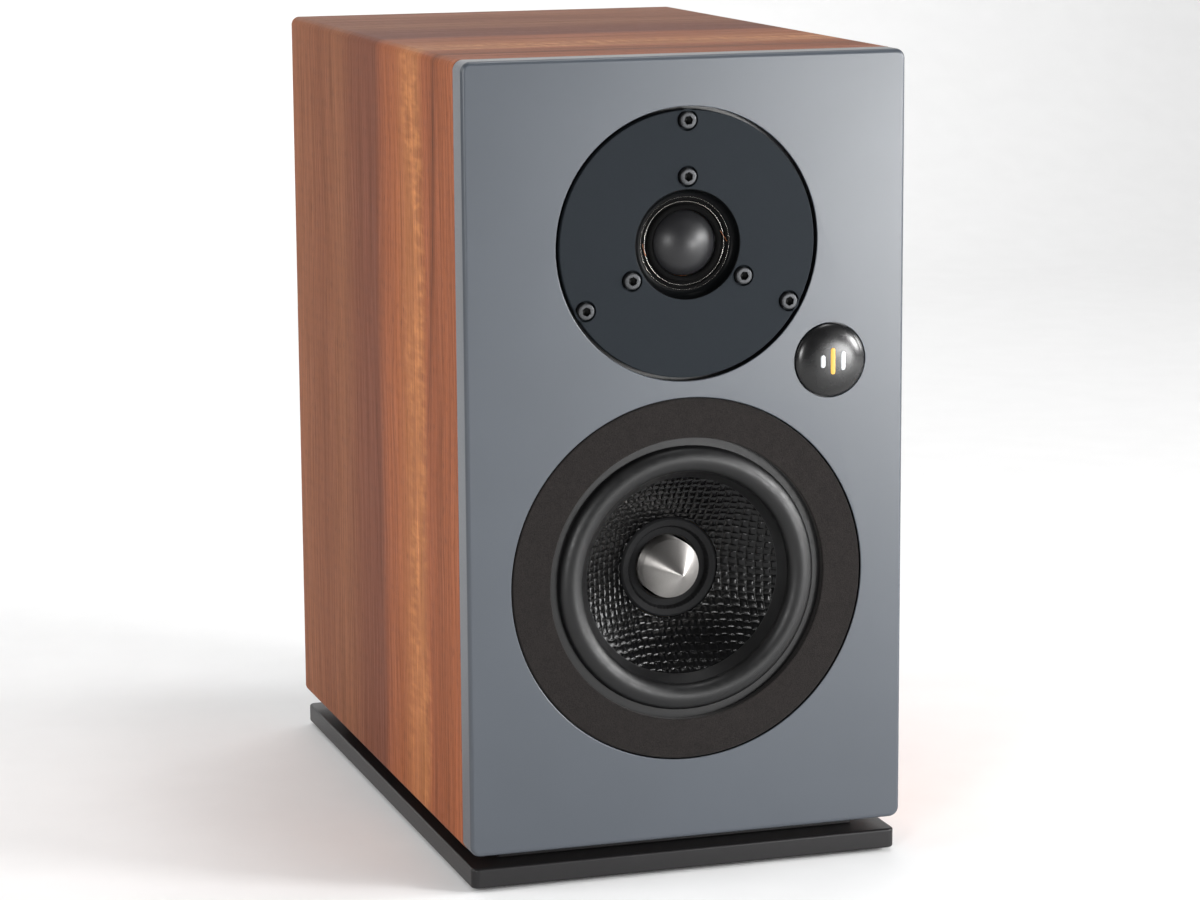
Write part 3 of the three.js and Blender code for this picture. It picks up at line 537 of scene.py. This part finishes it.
def make(name, part, body, slot, material=None, at=(0, 0), sharp=40, settle=True):
    """A new piece from millimetres: x and z from a middle, and depth behind the baffle's front."""
    verts, faces = part
    places = (np.array(verts, float) + (at[0], FRONT, at[1])) * MM
    mesh = bpy.data.meshes.new(name)
    mesh.from_pydata(places.tolist(), [], faces)
    work = bmesh.new()
    work.from_mesh(mesh)
    if settle:
        bmesh.ops.remove_doubles(work, verts=work.verts, dist=1e-7)
        bmesh.ops.dissolve_degenerate(work, edges=work.edges, dist=1e-7)
    bmesh.ops.recalc_face_normals(work, faces=work.faces)
    work.to_mesh(mesh)
    work.free()
    mesh.shade_smooth()
    mesh.set_sharp_from_angle(angle=math.radians(sharp))
    mesh.materials.append(material or MATERIALS[slot])
    obj = bpy.data.objects.new(name, mesh)
    bpy.context.scene.collection.objects.link(obj)
    if body:
        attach(obj, body)
    return obj


def remake(node, part, at=None, flex=None, **options):
    """A finer piece that stands for a CAD node. flex is (moving body, its radius, the fixed radius), of which
    only its being given is used: such a piece is baked where it stands and attached to no body.
    """
    middle = middle_of(node) if at is None else at
    obj = make(f"{node}.fine", part, None if flex else BODY_OF[node], SLOT_OF[node], at=middle, **options)
    if flex:
        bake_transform(obj)
    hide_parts(node)
    level = obj.modifiers.new("flat faces stay flat", "WEIGHTED_NORMAL")
    level.keep_sharp = True
    return obj


# ---------------------------------------------------------------- cabinet
low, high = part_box("left_side_panel")
WALL = 15.0
EDGE = 3.5
RIM = 5.0
REBATE = 12.0
CABINET_REAR = high.y / MM - FRONT
BOARD_FRONT = low.y / MM - FRONT
CABINET_BOTTOM, CABINET_TOP = low.z / MM, high.z / MM
HALF_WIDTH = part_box("right_side_panel")[1].x / MM
HALF_HEIGHT = (CABINET_TOP - CABINET_BOTTOM) / 2
MIDDLE_Z = (CABINET_TOP + CABINET_BOTTOM) / 2


def board(half, distance):
    """One mitred board of the wrap, drawn as the top board: t is across it and n is outwards."""
    radius_steps = 8

    def section(inset, inner):
        arc_left = arc((-half + EDGE, distance - EDGE), (EDGE - inset,) * 2, 135, 90, radius_steps)
        arc_right = arc((half - EDGE, distance - EDGE), (EDGE - inset,) * 2, 90, 45, radius_steps)
        return [(-half + inner, distance - inner), *arc_left, *arc_right, (half - inner, distance - inner)]

    rebate = CABINET_REAR - REBATE
    rows = [(0.25, WALL, BOARD_FRONT), (0, WALL, BOARD_FRONT + 0.25), (0, WALL, rebate), (0, RIM, rebate)]
    rows += [(inset, RIM, CABINET_REAR - 0.7 + depth) for inset, depth in ((0, 0), (0.2, 0.5), (0.7, 0.7))]
    verts, faces, loops = [], [], []
    for inset, inner, depth in rows:
        points = section(inset, inner)
        loops.append(list(range(len(verts), len(verts) + len(points))))
        verts += [(t, depth, n) for t, n in points]
    for a, b in zip(loops, loops[1:]):
        faces += [(a[i - 1], a[i], b[i], b[i - 1]) for i in range(len(a))]
    return verts, faces + [tuple(loops[0]), tuple(reversed(loops[-1]))]


def lay_grain(obj, half, distance, turn, start, painted_sheen):
    """Stores depth across the grain, length along it, which runs on round the rounded edges, and the painted
    sheen share, 1 where the board is painted paler as lit by reflection.
    """
    back = Matrix.Rotation(-turn, 3, "Y")
    values = []
    for vertex in obj.data.vertices:
        x, y, z = vertex.co / MM
        t, _, n = back @ Vector((x, 0, z - MIDDLE_Z))
        flat = half - EDGE
        along = t
        if abs(t) > flat and n > distance - EDGE:
            bend = math.atan2(abs(t) - flat, n - distance + EDGE)
            along = math.copysign(flat + EDGE * bend, t)
        values += [y - FRONT, start + along, painted_sheen]
    attribute = obj.data.attributes.new("grain", "FLOAT_VECTOR", "POINT")
    attribute.data.foreach_set("vector", values)


corner_length = EDGE * (math.pi / 4 - 1)
reach_x, reach_z = HALF_WIDTH + corner_length, HALF_HEIGHT + corner_length
# the last number of each board is its painted_sheen, 1 on the top board, whose wood is painted paler as its
# reflected light
BOARDS = {
    "top_panel": (HALF_WIDTH, HALF_HEIGHT, 0, reach_x, 1.0),
    "right_side_panel": (HALF_HEIGHT, HALF_WIDTH, math.pi / 2, 2 * reach_x + reach_z, 0.0),
    "bottom_panel": (HALF_WIDTH, HALF_HEIGHT, math.pi, -2 * reach_z - reach_x, 0.0),
    "left_side_panel": (HALF_HEIGHT, HALF_WIDTH, -math.pi / 2, -reach_z, 0.0),
}
for node, (half, distance, turn, start, painted_sheen) in BOARDS.items():
    verts, faces = board(half, distance)
    spin = Matrix.Rotation(turn, 3, "Y")
    piece = remake(node, ([tuple(spin @ Vector(v)) for v in verts], faces), at=(0, MIDDLE_Z))
    lay_grain(piece, half, distance, turn, start, painted_sheen)


def baffle_hole(middle, radius, segments, rows, lip=0.35):
    local = (middle[0], middle[1] - MIDDLE_Z)
    return disc(radius, segments, local), soften(lip, 3, -1) + rows


remake(
    "front_baffle",
    plate(
        panel(2 * HALF_WIDTH, 2 * HALF_HEIGHT, 4, 10),
        soften(1.6, 8) + [(0, 11.75), (0.25, 12)],
        [
            baffle_hole(WOOFER, WOOFER_RECESS, 180, [(0, 7), (10.5, 7), (10.5, 12)]),
            baffle_hole(TWEETER, TWEETER_RECESS, 160, [(0, 4), (15.4, 4), (15.4, 12)]),
            baffle_hole(BADGE, BADGE_RECESS, 64, [(0, 1.5)], 0.2),
        ],
    ),
    at=(0, MIDDLE_Z),
)

rear_depth = CABINET_REAR - REBATE
remake(
    "rear_panel",
    moved(
        plate(
            panel(2 * (HALF_WIDTH - RIM), 2 * (HALF_HEIGHT - RIM), 0.6, 3),
            [(0, 0), (0, REBATE - 0.4), (0.1, REBATE - 0.1), (0.5, REBATE)],
            [
                (disc(32.4, 64, (PORT[0], PORT[1] - MIDDLE_Z)), [(0, 0), (0, REBATE)]),
                (panel(56, 22, 1, 2, (TERMINALS[0], TERMINALS[1] - MIDDLE_Z)), [(0, 0), (0, REBATE)]),
            ],
        ),
        depth=rear_depth,
    ),
    at=(0, MIDDLE_Z),
)


# ---------------------------------------------------------------- plinth and feet
def slab_on_floor(node, corner, edge):
    """A board lying flat in its CAD node's box, with rounded corners and softened edges."""
    low, high = (corner_point / MM for corner_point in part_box(node))
    size = high - low
    rows = soften(edge, 4) + [(0, size.z - edge)] + [(i, size.z - d) for i, d in reversed(soften(edge, 4))]
    part = upright(plate(panel(size.x, size.y, corner, 6), rows))
    return remake(node, moved(part, (low.x + high.x) / 2, (low.y + high.y) / 2 - FRONT, low.z), at=(0, 0))


slab_on_floor("plinth", 3, 0.9)
slab_on_floor("plinth_spacer", 1, 0.4)
for end in ("front", "rear"):
    for side in ("left", "right"):
        node = f"foot_pad_{end}_{side}"
        low, high = (corner_point / MM for corner_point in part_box(node))
        radius, tall = (high.x - low.x) / 2, high.z
        pad = upright(lathe(rounded([(0, 0), (radius, 0, 0.5), (radius, tall, 0.3), (0, tall)]), 48))
        remake(node, moved(pad, (low.x + high.x) / 2, (low.y + high.y) / 2 - FRONT), at=(0, 0))


def damping_pad(side, sign):
    """Egg-crate foam: flat against the wall, with rows of soft peaks towards the inside."""
    low, high = (corner_point / MM for corner_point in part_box(f"damping_pad_{side}"))
    thick, width, tall = high - low
    columns, rows = 60, 116
    peak, pitch, border = 4.5, 15.5, 5.0
    wall = high.x if sign > 0 else low.x
    verts, faces = [], []
    for layer in (0, 1):
        for i in range(rows + 1):
            for k in range(columns + 1):
                y, z = width * k / columns, tall * i / rows
                edge = min(y, width - y, z, tall - z)
                crown = math.sqrt(1 - (1 - min(edge / border, 1)) ** 2)
                wave = 0.5 + 0.25 * (math.cos(2 * math.pi * y / pitch) + math.cos(2 * math.pi * z / pitch))
                reach = (thick - peak * (1 - wave)) * (0.35 + 0.65 * crown) if layer else 0.0
                pull = 0.0 if layer else 0.6 * (1 - crown)
                y += math.copysign(pull, width / 2 - y)
                verts.append((wall - sign * reach, low.y - FRONT + y, low.z + z))
    stride = columns + 1
    sheet = stride * (rows + 1)
    for i in range(rows):
        for k in range(columns):
            a = i * stride + k
            quad = (a, a + 1, a + stride + 1, a + stride)
            faces += [quad, tuple(v + sheet for v in reversed(quad))]
    rim = list(range(columns)) + [columns + i * stride for i in range(rows)]
    rim += [rows * stride + k for k in range(columns, 0, -1)] + [i * stride for i in range(rows, 0, -1)]
    faces += [(rim[i - 1], rim[i], rim[i] + sheet, rim[i - 1] + sheet) for i in range(len(rim))]
    remake(f"damping_pad_{side}", (verts, faces), at=(0, 0))


damping_pad("left", -1)
damping_pad("right", 1)


# ---------------------------------------------------------------- badge
def print_bar(name, x, height, material):
    """A printed bar on the badge's face."""
    bar = plate(panel(1.9, height, 0.9, 6), soften(0.06, 3) + [(0, 0.32)])
    make(name, moved(bar, x, -3.56), "cabinet", "badge_gloss", material, at=BADGE)


BADGE_RADIUS, BADGE_CROWN = 14.55, 3.5
crown = []
for angle in reversed(quarter(16)):
    share = math.sin(angle)
    crown.append((BADGE_RADIUS * share, -BADGE_CROWN * (1 - share**3) ** 0.6))
crown[-1] = (0.0, -BADGE_CROWN)
remake("badge_disc", lathe([(0, 1.5), (BADGE_RADIUS, 1.5), *crown], 96))
BADGE_BARS = ((-4.2, 5, SILVER_PRINT), (0, 10.5, WARM_PRINT), (4.2, 7.5, SILVER_PRINT))
for i, (x, height, paint) in enumerate(BADGE_BARS):
    print_bar(f"badge_bar_{i + 1}", x, height, paint)


# ---------------------------------------------------------------- tweeter
def clock(radius, hours):
    angle = math.radians(30 * hours)
    return radius * math.sin(angle), radius * math.cos(angle)


MOUNT_CIRCLE, MOTOR_CIRCLE = 48.0, 26.3
SCREW_HOURS = (0, 4, 8)
THROAT, PLATE_THICK = 18.4, 4.0
flare = [(0, 0)] + [
    (0.35 + (MOUTH - THROAT - 0.35) * (1 - math.cos(a)) ** 0.8, PLATE_THICK * (0.06 + 0.94 * math.sin(a)))
    for a in quarter(8)
]
bores = [
    (disc(4.1, 36, clock(circle, hours)), soften(0.25, 3, -1) + [(0, 2.4), (1.8, 2.4), (1.8, 4)])
    for circle in (MOUNT_CIRCLE, MOTOR_CIRCLE)
    for hours in SCREW_HOURS
]
remake(
    "tweeter_faceplate",
    plate(disc(52, 160), soften(0.5, 4) + [(0, 3.8), (0.2, PLATE_THICK)], [(disc(MOUTH, 96), flare), *bores]),
)


def cap_screw(node, tip, turn):
    """A socket cap screw with its head above the counterbore."""
    head, top, seat, shank = 3.25, -1.2, 2.4, 1.75
    rows = soften(0.55, 5, depth=top) + [(0, seat - 0.2), (0.2, seat), (head - shank, seat)]
    rows += [(head - shank, tip - 0.6), (head - shank + 0.6, tip)]
    walls = [(-0.16, top), (0, top + 0.14), (0, top + 0.5), (0, top + 2), (1.3, top + 2.4)]
    screw = remake(node, plate(disc(head, 40), rows, [(disc(1.75, 6, turn=turn), walls)]))
    middle = middle_of(node)
    # painted shade: vertices on the hex socket's walls are marked "shaded", which screw_steel colours
    # near-black
    shaded = []
    for vertex in screw.data.vertices:
        x, depth, z = vertex.co / MM
        near = math.hypot(x - middle[0], z - middle[1]) < 1.8
        shaded.append(1.0 if near and top + 0.4 < depth - FRONT < seat else 0.0)
    screw.data.attributes.new("shaded", "FLOAT", "POINT").data.foreach_set("value", shaded)


for i in range(3):
    cap_screw(f"tweeter_mount_screw_{i + 1}", 22, 0.35 + 0.8 * i)
    cap_screw(f"tweeter_motor_screw_{i + 1}", 11.5, 0.1 + 0.55 * i)

DOME_RADIUS, DOME_HEIGHT, DOME_BASE, DOME_SKIN = 12.75, 6.2, 5.4, 0.4
sphere = (DOME_RADIUS**2 + DOME_HEIGHT**2) / (2 * DOME_HEIGHT)
dome_centre = (0, DOME_BASE - DOME_HEIGHT + sphere)
reach = math.degrees(math.asin(DOME_RADIUS / sphere))
inner_reach = math.degrees(math.asin((DOME_RADIUS - DOME_SKIN) / (sphere - DOME_SKIN)))
outside = arc(dome_centre, (sphere,) * 2, -90, -90 + reach, 28)
inside = arc(dome_centre, (sphere - DOME_SKIN,) * 2, -90 + inner_reach, -90, 20)
outside[0] = (0, outside[0][1])
inside[-1] = (0, inside[-1][1])
skirt = [(DOME_RADIUS, DOME_BASE + 0.5), (DOME_RADIUS, 9.4), (DOME_RADIUS - 0.1, 9.5)]
skirt += [(DOME_RADIUS - DOME_SKIN, 9.5), (DOME_RADIUS - DOME_SKIN, DOME_BASE + 0.6)]
remake("tweeter_dome", lathe([*outside, *skirt, *inside], 128))

roll_front = arc((14.125, 4.9), (1.275, 1.1), 180, 360, 14)
roll_back = arc((14.125, 5.2), (0.975, 0.8), 360, 180, 14)
surround = [*roll_front, (16.6, 4.9), (16.7, 5.0), (16.7, 5.2), *roll_back, (12.85, 5.2)]
remake("tweeter_surround", lathe(surround, 128), flex=("tweeter_moving", 12.9, 15.4), material=MATTE_BLACK)
remake(
    "tweeter_carrier_ring",
    lathe([(16.9, 4), (35, 4), (35, 8), (15.4, 8), (15.4, 5.2), (16.9, 5.2)], 128),
    material=MATTE_BLACK,
)


def wire_ring(name, radius, depth, thick):
    section = arc((radius, depth), (thick, thick), 0, 360, 12)[:-1]
    make(name, lathe(section, 128), "cabinet", "zinc_steel", RING_WIRE, at=TWEETER)


wire_ring("tweeter_clamp_ring", 16.3, 4.75, 0.14)
wire_ring("tweeter_throat_ring", 18.1, 3.9, 0.045)


def tube(points, radius):
    """A round wire with closed ends through points of (x, depth, z)."""
    path = [Vector(p) for p in points]
    verts, faces = [], []
    sides = 12
    side = None
    for i, point in enumerate(path):
        ahead = (path[min(i + 1, len(path) - 1)] - path[max(i - 1, 0)]).normalized()
        side = side or ahead.orthogonal()
        side = (side - ahead * side.dot(ahead)).normalized()
        up = ahead.cross(side)
        for k in range(sides):
            a = 2 * math.pi * k / sides
            verts.append(tuple(point + radius * (math.cos(a) * side + math.sin(a) * up)))
    for i in range(len(path) - 1):
        for k in range(sides):
            a, b = i * sides + k, i * sides + (k + 1) % sides
            faces.append((a, b, b + sides, a + sides))
    return verts, faces + [tuple(range(sides)), tuple(range(len(verts) - sides, len(verts)))]


TINSEL_PATHS = {
    "left": [(-17.4, 3.2, 0.6), (-17.1, 3.6, -0.8), (-16.6, 4.0, -2.2), (-16.2, 4.4, -3.4), (-15.6, 4.7, -4.2)],
    "right": [(17.2, 3.4, 0.1), (16.6, 3.8, 1.2), (15.9, 4.1, 2.4), (15.3, 4.3, 3.4), (14.7, 4.3, 4.3)],
}
for side, points in TINSEL_PATHS.items():
    make(f"tweeter_tinsel_{side}", tube(points, 0.16), "cabinet", "copper_wire", at=TWEETER)

# ---------------------------------------------------------------- woofer
ring = [(56.4, 0.3, 0.7), (72.1, 0.3, 0.8), (72.1, 3.6, 0.3), (56.4, 3.6, 0.3)]
remake("woofer_trim_ring", lathe(rounded(ring), 256))


CONE_OUTER, CONE_OUTER_DEPTH = 42.3, 5.7
CONE_INNER, CONE_INNER_DEPTH = 20.4, 24.25
CONE_SKIN = 1.05


def cone_depth(radius):
    slope = (CONE_INNER_DEPTH - CONE_OUTER_DEPTH) / (CONE_INNER - CONE_OUTER)
    return CONE_OUTER_DEPTH + (radius - CONE_OUTER) * slope


RUBBER = 0.5
LAND = 3.6
roll_middle, roll_half = 47.75, 5.25
roll_front = arc((roll_middle, LAND), (roll_half, 4.4), 0, -180, 28)
roll_back = arc((roll_middle, LAND + RUBBER), (roll_half - RUBBER, 4.4), -180, 0, 28)
lip = 39.6
surround = [
    (59.8, LAND), (53.35, LAND), *roll_front,
    (lip + 0.2, cone_depth(lip) - RUBBER), (lip, cone_depth(lip) - 0.35), (lip, cone_depth(lip) - 0.05),
    (42.5, cone_depth(42.5) - 0.05), *roll_back, (59.8, LAND + RUBBER),
]
remake("woofer_surround", lathe(surround, 192), at=WOOFER, flex=("woofer_moving", 42.6, 53))

CELL = 2.7


def woven(x, z):
    """Height, 0 to 1, of a plain weave: upright tows are on top on every other cell, level ones between."""
    u, v = x / CELL, z / CELL
    lean = 0.16 * np.sin(u * 0.9) + 0.16 * np.sin(v * 1.1)
    u, v = u + lean * 0.4, v - lean * 0.4
    cell_u, cell_v = np.floor(u), np.floor(v)
    u, v = 2 * (u - cell_u) - 1, 2 * (v - cell_v) - 1
    upright_over = (cell_u + cell_v) % 2 == 0
    side = np.where(upright_over, u / 0.86, v / 0.8)
    end = np.where(upright_over, v / 1.12, u / 1.05)
    swell = np.sqrt(np.clip(1 - side**2, 0, 1)) * np.sqrt(np.clip(1 - np.abs(end) ** 3, 0, 1))
    return np.where(upright_over, swell, 0.62 * swell)


def make_cone():
    segments, rows = 900, 100
    relief = 0.6
    angles = np.arange(segments) * (2 * math.pi / segments)
    slope = math.atan2(CONE_INNER_DEPTH - CONE_OUTER_DEPTH, CONE_OUTER - CONE_INNER)
    verts, lifts = [], []
    for i in range(rows + 1):
        radius = CONE_OUTER + (CONE_INNER - CONE_OUTER) * i / rows
        x, z = radius * np.sin(angles), radius * np.cos(angles)
        edge = min(1, i / 5) * min(1, (rows - i) / 3 + 0.3)
        lift = woven(x, z)
        depth = cone_depth(radius) + relief * (1 - lift) * edge * math.cos(slope)
        verts += list(zip(x, depth, z))
        lifts += lift.tolist()
    back_radii = np.linspace(CONE_INNER, CONE_OUTER, 6)
    for radius in back_radii:
        depth = np.full(segments, cone_depth(radius) + CONE_SKIN)
        verts += list(zip(radius * np.sin(angles), depth, radius * np.cos(angles)))
    rings = rows + 1 + len(back_radii)
    faces = []
    for i in range(rings):
        a, b = i * segments, ((i + 1) % rings) * segments
        faces += [(a + k - 1, a + k, b + k, b + k - 1) for k in range(1, segments)]
        faces.append((a + segments - 1, a, b, b + segments - 1))
    cone = remake("woofer_cone", (verts, faces), sharp=80, settle=False)
    # lift also drives the painted shade in the weave's low places
    lifts += [0.0] * (len(verts) - len(lifts))
    cone.data.attributes.new("lift", "FLOAT", "POINT").data.foreach_set("value", lifts)


make_cone()


def neck_ripple(radius, depth, angles):
    """Fine ribs on the inner step's slope."""
    ribbed = 16.3 < radius < 16.95 and depth < 26.2
    return radius + (0.16 * np.sign(np.sin(angles * 72)) if ribbed else 0) * np.ones_like(angles)


neck = rounded([
    (13.3, 26.6, 0.2), (16.0, 26.6, 0.3), (16.9, 24.1, 0.4), (19.3, 23.7, 0.4), (20.2, 24.5, 0.3),
    (20.2, 28.6), (13.3, 28.6),
], 4)
remake("woofer_neck_ring", lathe(neck, 288, neck_ripple), sharp=50, material=NECK_RUBBER)

PLUG_RADIUS, PLUG_TIP, PLUG_SHOULDER, PLUG_TAPER = 11.85, 6.5, 22.0, 0.55
plug_steps = 40
nose = []
for i in range(plug_steps + 1):
    share = i / plug_steps
    swell = PLUG_TAPER * share + (1 - PLUG_TAPER) * math.sin(share * math.pi / 2)
    nose.append((PLUG_RADIUS * swell, PLUG_TIP + (PLUG_SHOULDER - PLUG_TIP) * share))
nose[0] = (0.0, PLUG_TIP)
remake("woofer_phase_plug", lathe([*nose, (PLUG_RADIUS, 45), (0, 45)], 160))

# the coil: a dark former with the copper winding at its rear
former = [(12.8, 27), (13.2, 27), (13.2, 41), (13.8, 41), (13.8, 55), (12.8, 55)]
former_profile = rounded([(*point, 0.05) for point in former], 2)
remake("woofer_voice_coil", lathe(former_profile, 128), material=FORMER_PAPER)
winding = [(13.82, 42), (14.0, 42), (14.0, 54), (13.82, 54)]
make("woofer_winding", lathe(winding, 128), "woofer_moving", "copper_wire", at=WOOFER)

SPIDER_DEPTH, SPIDER_WAVE, SPIDER_PITCH, SPIDER_SKIN = 35.0, 0.9, 5.83, 0.5
SPIDER_INNER, SPIDER_OUTER = 13.3, 36.5
SPIDER_BACK = SPIDER_DEPTH + SPIDER_SKIN
cloth_front = []
for radius in np.linspace(15.5, 35.5, 120):
    wave = math.cos(2 * math.pi * (radius - 17) / SPIDER_PITCH)
    cloth_front.append((radius, SPIDER_DEPTH - SPIDER_WAVE + SPIDER_WAVE * wave))
cloth_back = [(r, depth + SPIDER_SKIN) for r, depth in reversed(cloth_front)]
spider = [(SPIDER_INNER, SPIDER_DEPTH), *cloth_front, (SPIDER_OUTER, SPIDER_DEPTH)]
spider += [(SPIDER_OUTER, SPIDER_BACK), *cloth_back, (SPIDER_INNER, SPIDER_BACK)]
remake("woofer_spider", lathe(spider, 96), at=WOOFER, flex=("woofer_moving", 14, 35.8))

for i in range(4):
    place = clock(65.7, 1.5 + 3 * i)
    rows = [(0, 3.65), (0, 3.9), (1.6, 5.6), (1.6, 20), (2.6, 21)]
    socket = (disc(1.25, 6), [(0, 3.65), (0, 5.2), (0.9, 5.5)])
    at = (WOOFER[0] + place[0], WOOFER[1] + place[1])
    make(f"woofer_frame_screw_{i + 1}", plate(disc(3.4, 32), rows, [socket]), "cabinet", "screw_steel", at=at)

# ---------------------------------------------------------------- rear
rear = CABINET_REAR
mouth = arc((32, rear - 18), (11, 20.5), 180, 270, 18)
mouth = [(r, 2 * (rear - 18) - depth) for r, depth in mouth]
outside = arc((32, rear - 18), (8.5, 18), 90, 180, 12)
port = [(22, 175), (21.3, 175.3), (21, 176), *mouth, (37.2, rear + 2.5), (37.8, rear + 2.2), (38, rear + 1.6)]
port += [(38, rear), *outside, (23.5, 175.4), (23.2, 175)]
remake("port_tube", lathe(port, 128))

plate_rear = rear + 3
post_holes = [(disc(3.8, 40, (x, 0)), [(0, rear), (0, plate_rear)]) for x in (-15, 15)]
screw_places = [(x, z) for x in (-35, 35) for z in (-21, 21)]
dimples = [
    (disc(3.1, 32, place), [(-0.2, plate_rear), (0, plate_rear - 0.2), (1.4, plate_rear - 1.6)])
    for place in screw_places
]


def rear_facing(part):
    """Turns a plate drawn from its front face so that it is drawn from the back instead."""
    verts, faces = part
    return [(x, rear + plate_rear - depth, z) for x, depth, z in verts], faces


terminal_rows = soften(0.9, 5, depth=rear) + [(0, plate_rear)]
flipped_dimples = [(shape, [(i, rear + plate_rear - d) for i, d in rows]) for shape, rows in dimples]
flipped_holes = [
    (shape, [(i, rear + plate_rear - d) for i, d in reversed(rows)]) for shape, rows in post_holes
]
terminal_shape = plate(panel(84, 56, 6, 10), terminal_rows, flipped_holes + flipped_dimples)
remake("terminal_plate", rear_facing(terminal_shape))
for i, (x, z) in enumerate(screw_places):
    head = plate(disc(2.7, 32), [(0.35, 0), (0.1, 0.12), (0, 0.35), (1.35, 1.7), (1.35, 9), (2, 9.6)], [
        (disc(0.95, 6, turn=0.3 * i), [(0, 0), (0, 0.9), (0.5, 1.1)]),
    ])
    verts, faces = head
    verts = [(a, plate_rear - 0.1 - depth, c) for a, depth, c in verts]
    at = (TERMINALS[0] + x, TERMINALS[1] + z)
    make(f"terminal_screw_{i + 1}", (verts, faces), "cabinet", "screw_steel", at=at)

post_front, flange_rear, post_tip = rear - 9, plate_rear + 3, plate_rear + 17
post = rounded([
    (0, post_front), (3.5, post_front, 0.3), (3.5, plate_rear), (7, plate_rear, 0.2), (7, flange_rear, 0.5),
    (3.5, flange_rear), (3.5, post_tip, 0.4), (2.05, post_tip, 0.3),
    (2.05, flange_rear + 1), (0, flange_rear + 1),
])
washer_front = flange_rear + 0.1
washer = rounded([
    (3.9, washer_front, 0.2), (6.5, washer_front, 0.3),
    (6.5, washer_front + 1.5, 0.3), (3.9, washer_front + 1.5, 0.2),
])
knob_front = flange_rear + 1.9
knob_rear = knob_front + 13
grip = rounded([
    (3.95, knob_front, 0.2), (7, knob_front, 0.6), (7, knob_front + 10.4, 0.3), (6.6, knob_front + 10.8, 0.2),
    (6.6, knob_rear, 0.9), (3.95, knob_rear, 0.4),
])


def flutes(radius, depth, angles):
    """Ten rounded grooves along the grip."""
    full = min(1, max(0, (radius - 5.6) / 0.9)) if depth < knob_front + 10.5 else 0
    wave = np.clip(np.cos(angles * 10 + math.pi), 0, 1) ** 0.7
    return radius - 0.75 * full * wave


for colour in ("red", "black"):
    remake(f"binding_post_{colour}", lathe(post, 64))
    remake(f"post_washer_{colour}", lathe(washer, 64))
    remake(f"post_knob_{colour}", lathe(grip, 160, flutes))

# ---------------------------------------------------------------- CAD nodes that stay
for node, obj in frame["nodes"].items():
    if obj.hide_render:
        continue
    obj.data.materials.clear()
    obj.data.materials.append(MATERIALS[SLOT_OF[node]])
    weld = obj.modifiers.new("weld", "WELD")
    weld.merge_threshold = 1e-6
    bevel = obj.modifiers.new("bevel", "BEVEL")
    bevel.width = 0.3 * MM
    bevel.segments = 2
    bevel.limit_method = "ANGLE"
    bevel.angle_limit = math.radians(40)


# ---------------------------------------------------------------- floor and light
def make_floor():
    """A floor that curves up into a backdrop."""
    half, front, bend, height = 1.6, -1.42, 0.8, 4.0
    curve = arc((1.4, bend), (bend, bend), -90, 0, 24)
    profile = [(front, 0.0), *curve, (1.4 + bend, height)]
    verts = [(x, y, z) for y, z in profile for x in (-half, half)]
    faces = [(i, i + 1, i + 3, i + 2) for i in range(0, len(verts) - 2, 2)]
    mesh = bpy.data.meshes.new("floor")
    mesh.from_pydata(verts, [], faces)
    mesh.shade_smooth()
    look = Look("floor", "efefef", 0.9)
    look.vary(30, (0.99, 1.01), (0.85, 0.95), 0.01)
    mesh.materials.append(look.material)
    floor = bpy.data.objects.new("floor", mesh)
    bpy.context.scene.collection.objects.link(floor)


def soft_light(name, place, target, size, power):
    data = bpy.data.lights.new(name, "AREA")
    data.shape = "RECTANGLE"
    data.size, data.size_y = size
    data.energy = power
    light = bpy.data.objects.new(name, data)
    light.location = place
    light.rotation_mode = "QUATERNION"
    light.rotation_quaternion = (Vector(target) - Vector(place)).to_track_quat("-Z", "Y")
    bpy.context.scene.collection.objects.link(light)


def make_world():
    world = bpy.data.worlds.new("studio")
    world.use_nodes = True
    nodes = world.node_tree.nodes
    background = nodes["Background"]
    background.inputs["Color"].default_value = (1, 1, 1, 1)
    # the backdrop is pale to the camera, and the room's walls are darker
    seen = nodes.new("ShaderNodeLightPath").outputs["Is Camera Ray"]
    strength = nodes.new("ShaderNodeMapRange")
    strength.inputs["To Min"].default_value = 0.16
    strength.inputs["To Max"].default_value = 0.92
    world.node_tree.links.new(seen, strength.inputs["Value"])
    world.node_tree.links.new(strength.outputs[0], background.inputs["Strength"])
    bpy.context.scene.world = world
    bpy.context.scene.view_settings.view_transform = "Standard"


make_floor()
make_world()
MIDDLE = (0, 0, 0.16)
soft_light("key", (0.8, -1.42, 0.13), MIDDLE, (0.44, 0.26), 12.5)
soft_light("right low", (0.95, -0.8, 0.4), (0.32, -0.55, 0), (0.3, 0.3), 14)
soft_light("rim", (1.6, -0.42, 0.5), MIDDLE, (0.3, 0.5), 11)
soft_light("left", (-1.0, -1.35, 0.42), MIDDLE, (0.3, 0.35), 10)
soft_light("side", (-1.6, 0.05, 0.9), MIDDLE, (0.6, 1.0), 13)
soft_light("top", (0.35, -0.3, 1.9), MIDDLE, (0.5, 0.4), 7)
soft_light("backdrop", (0.0, 0.9, 2.1), (0, 2.2, 0.5), (2.5, 0.6), 32)
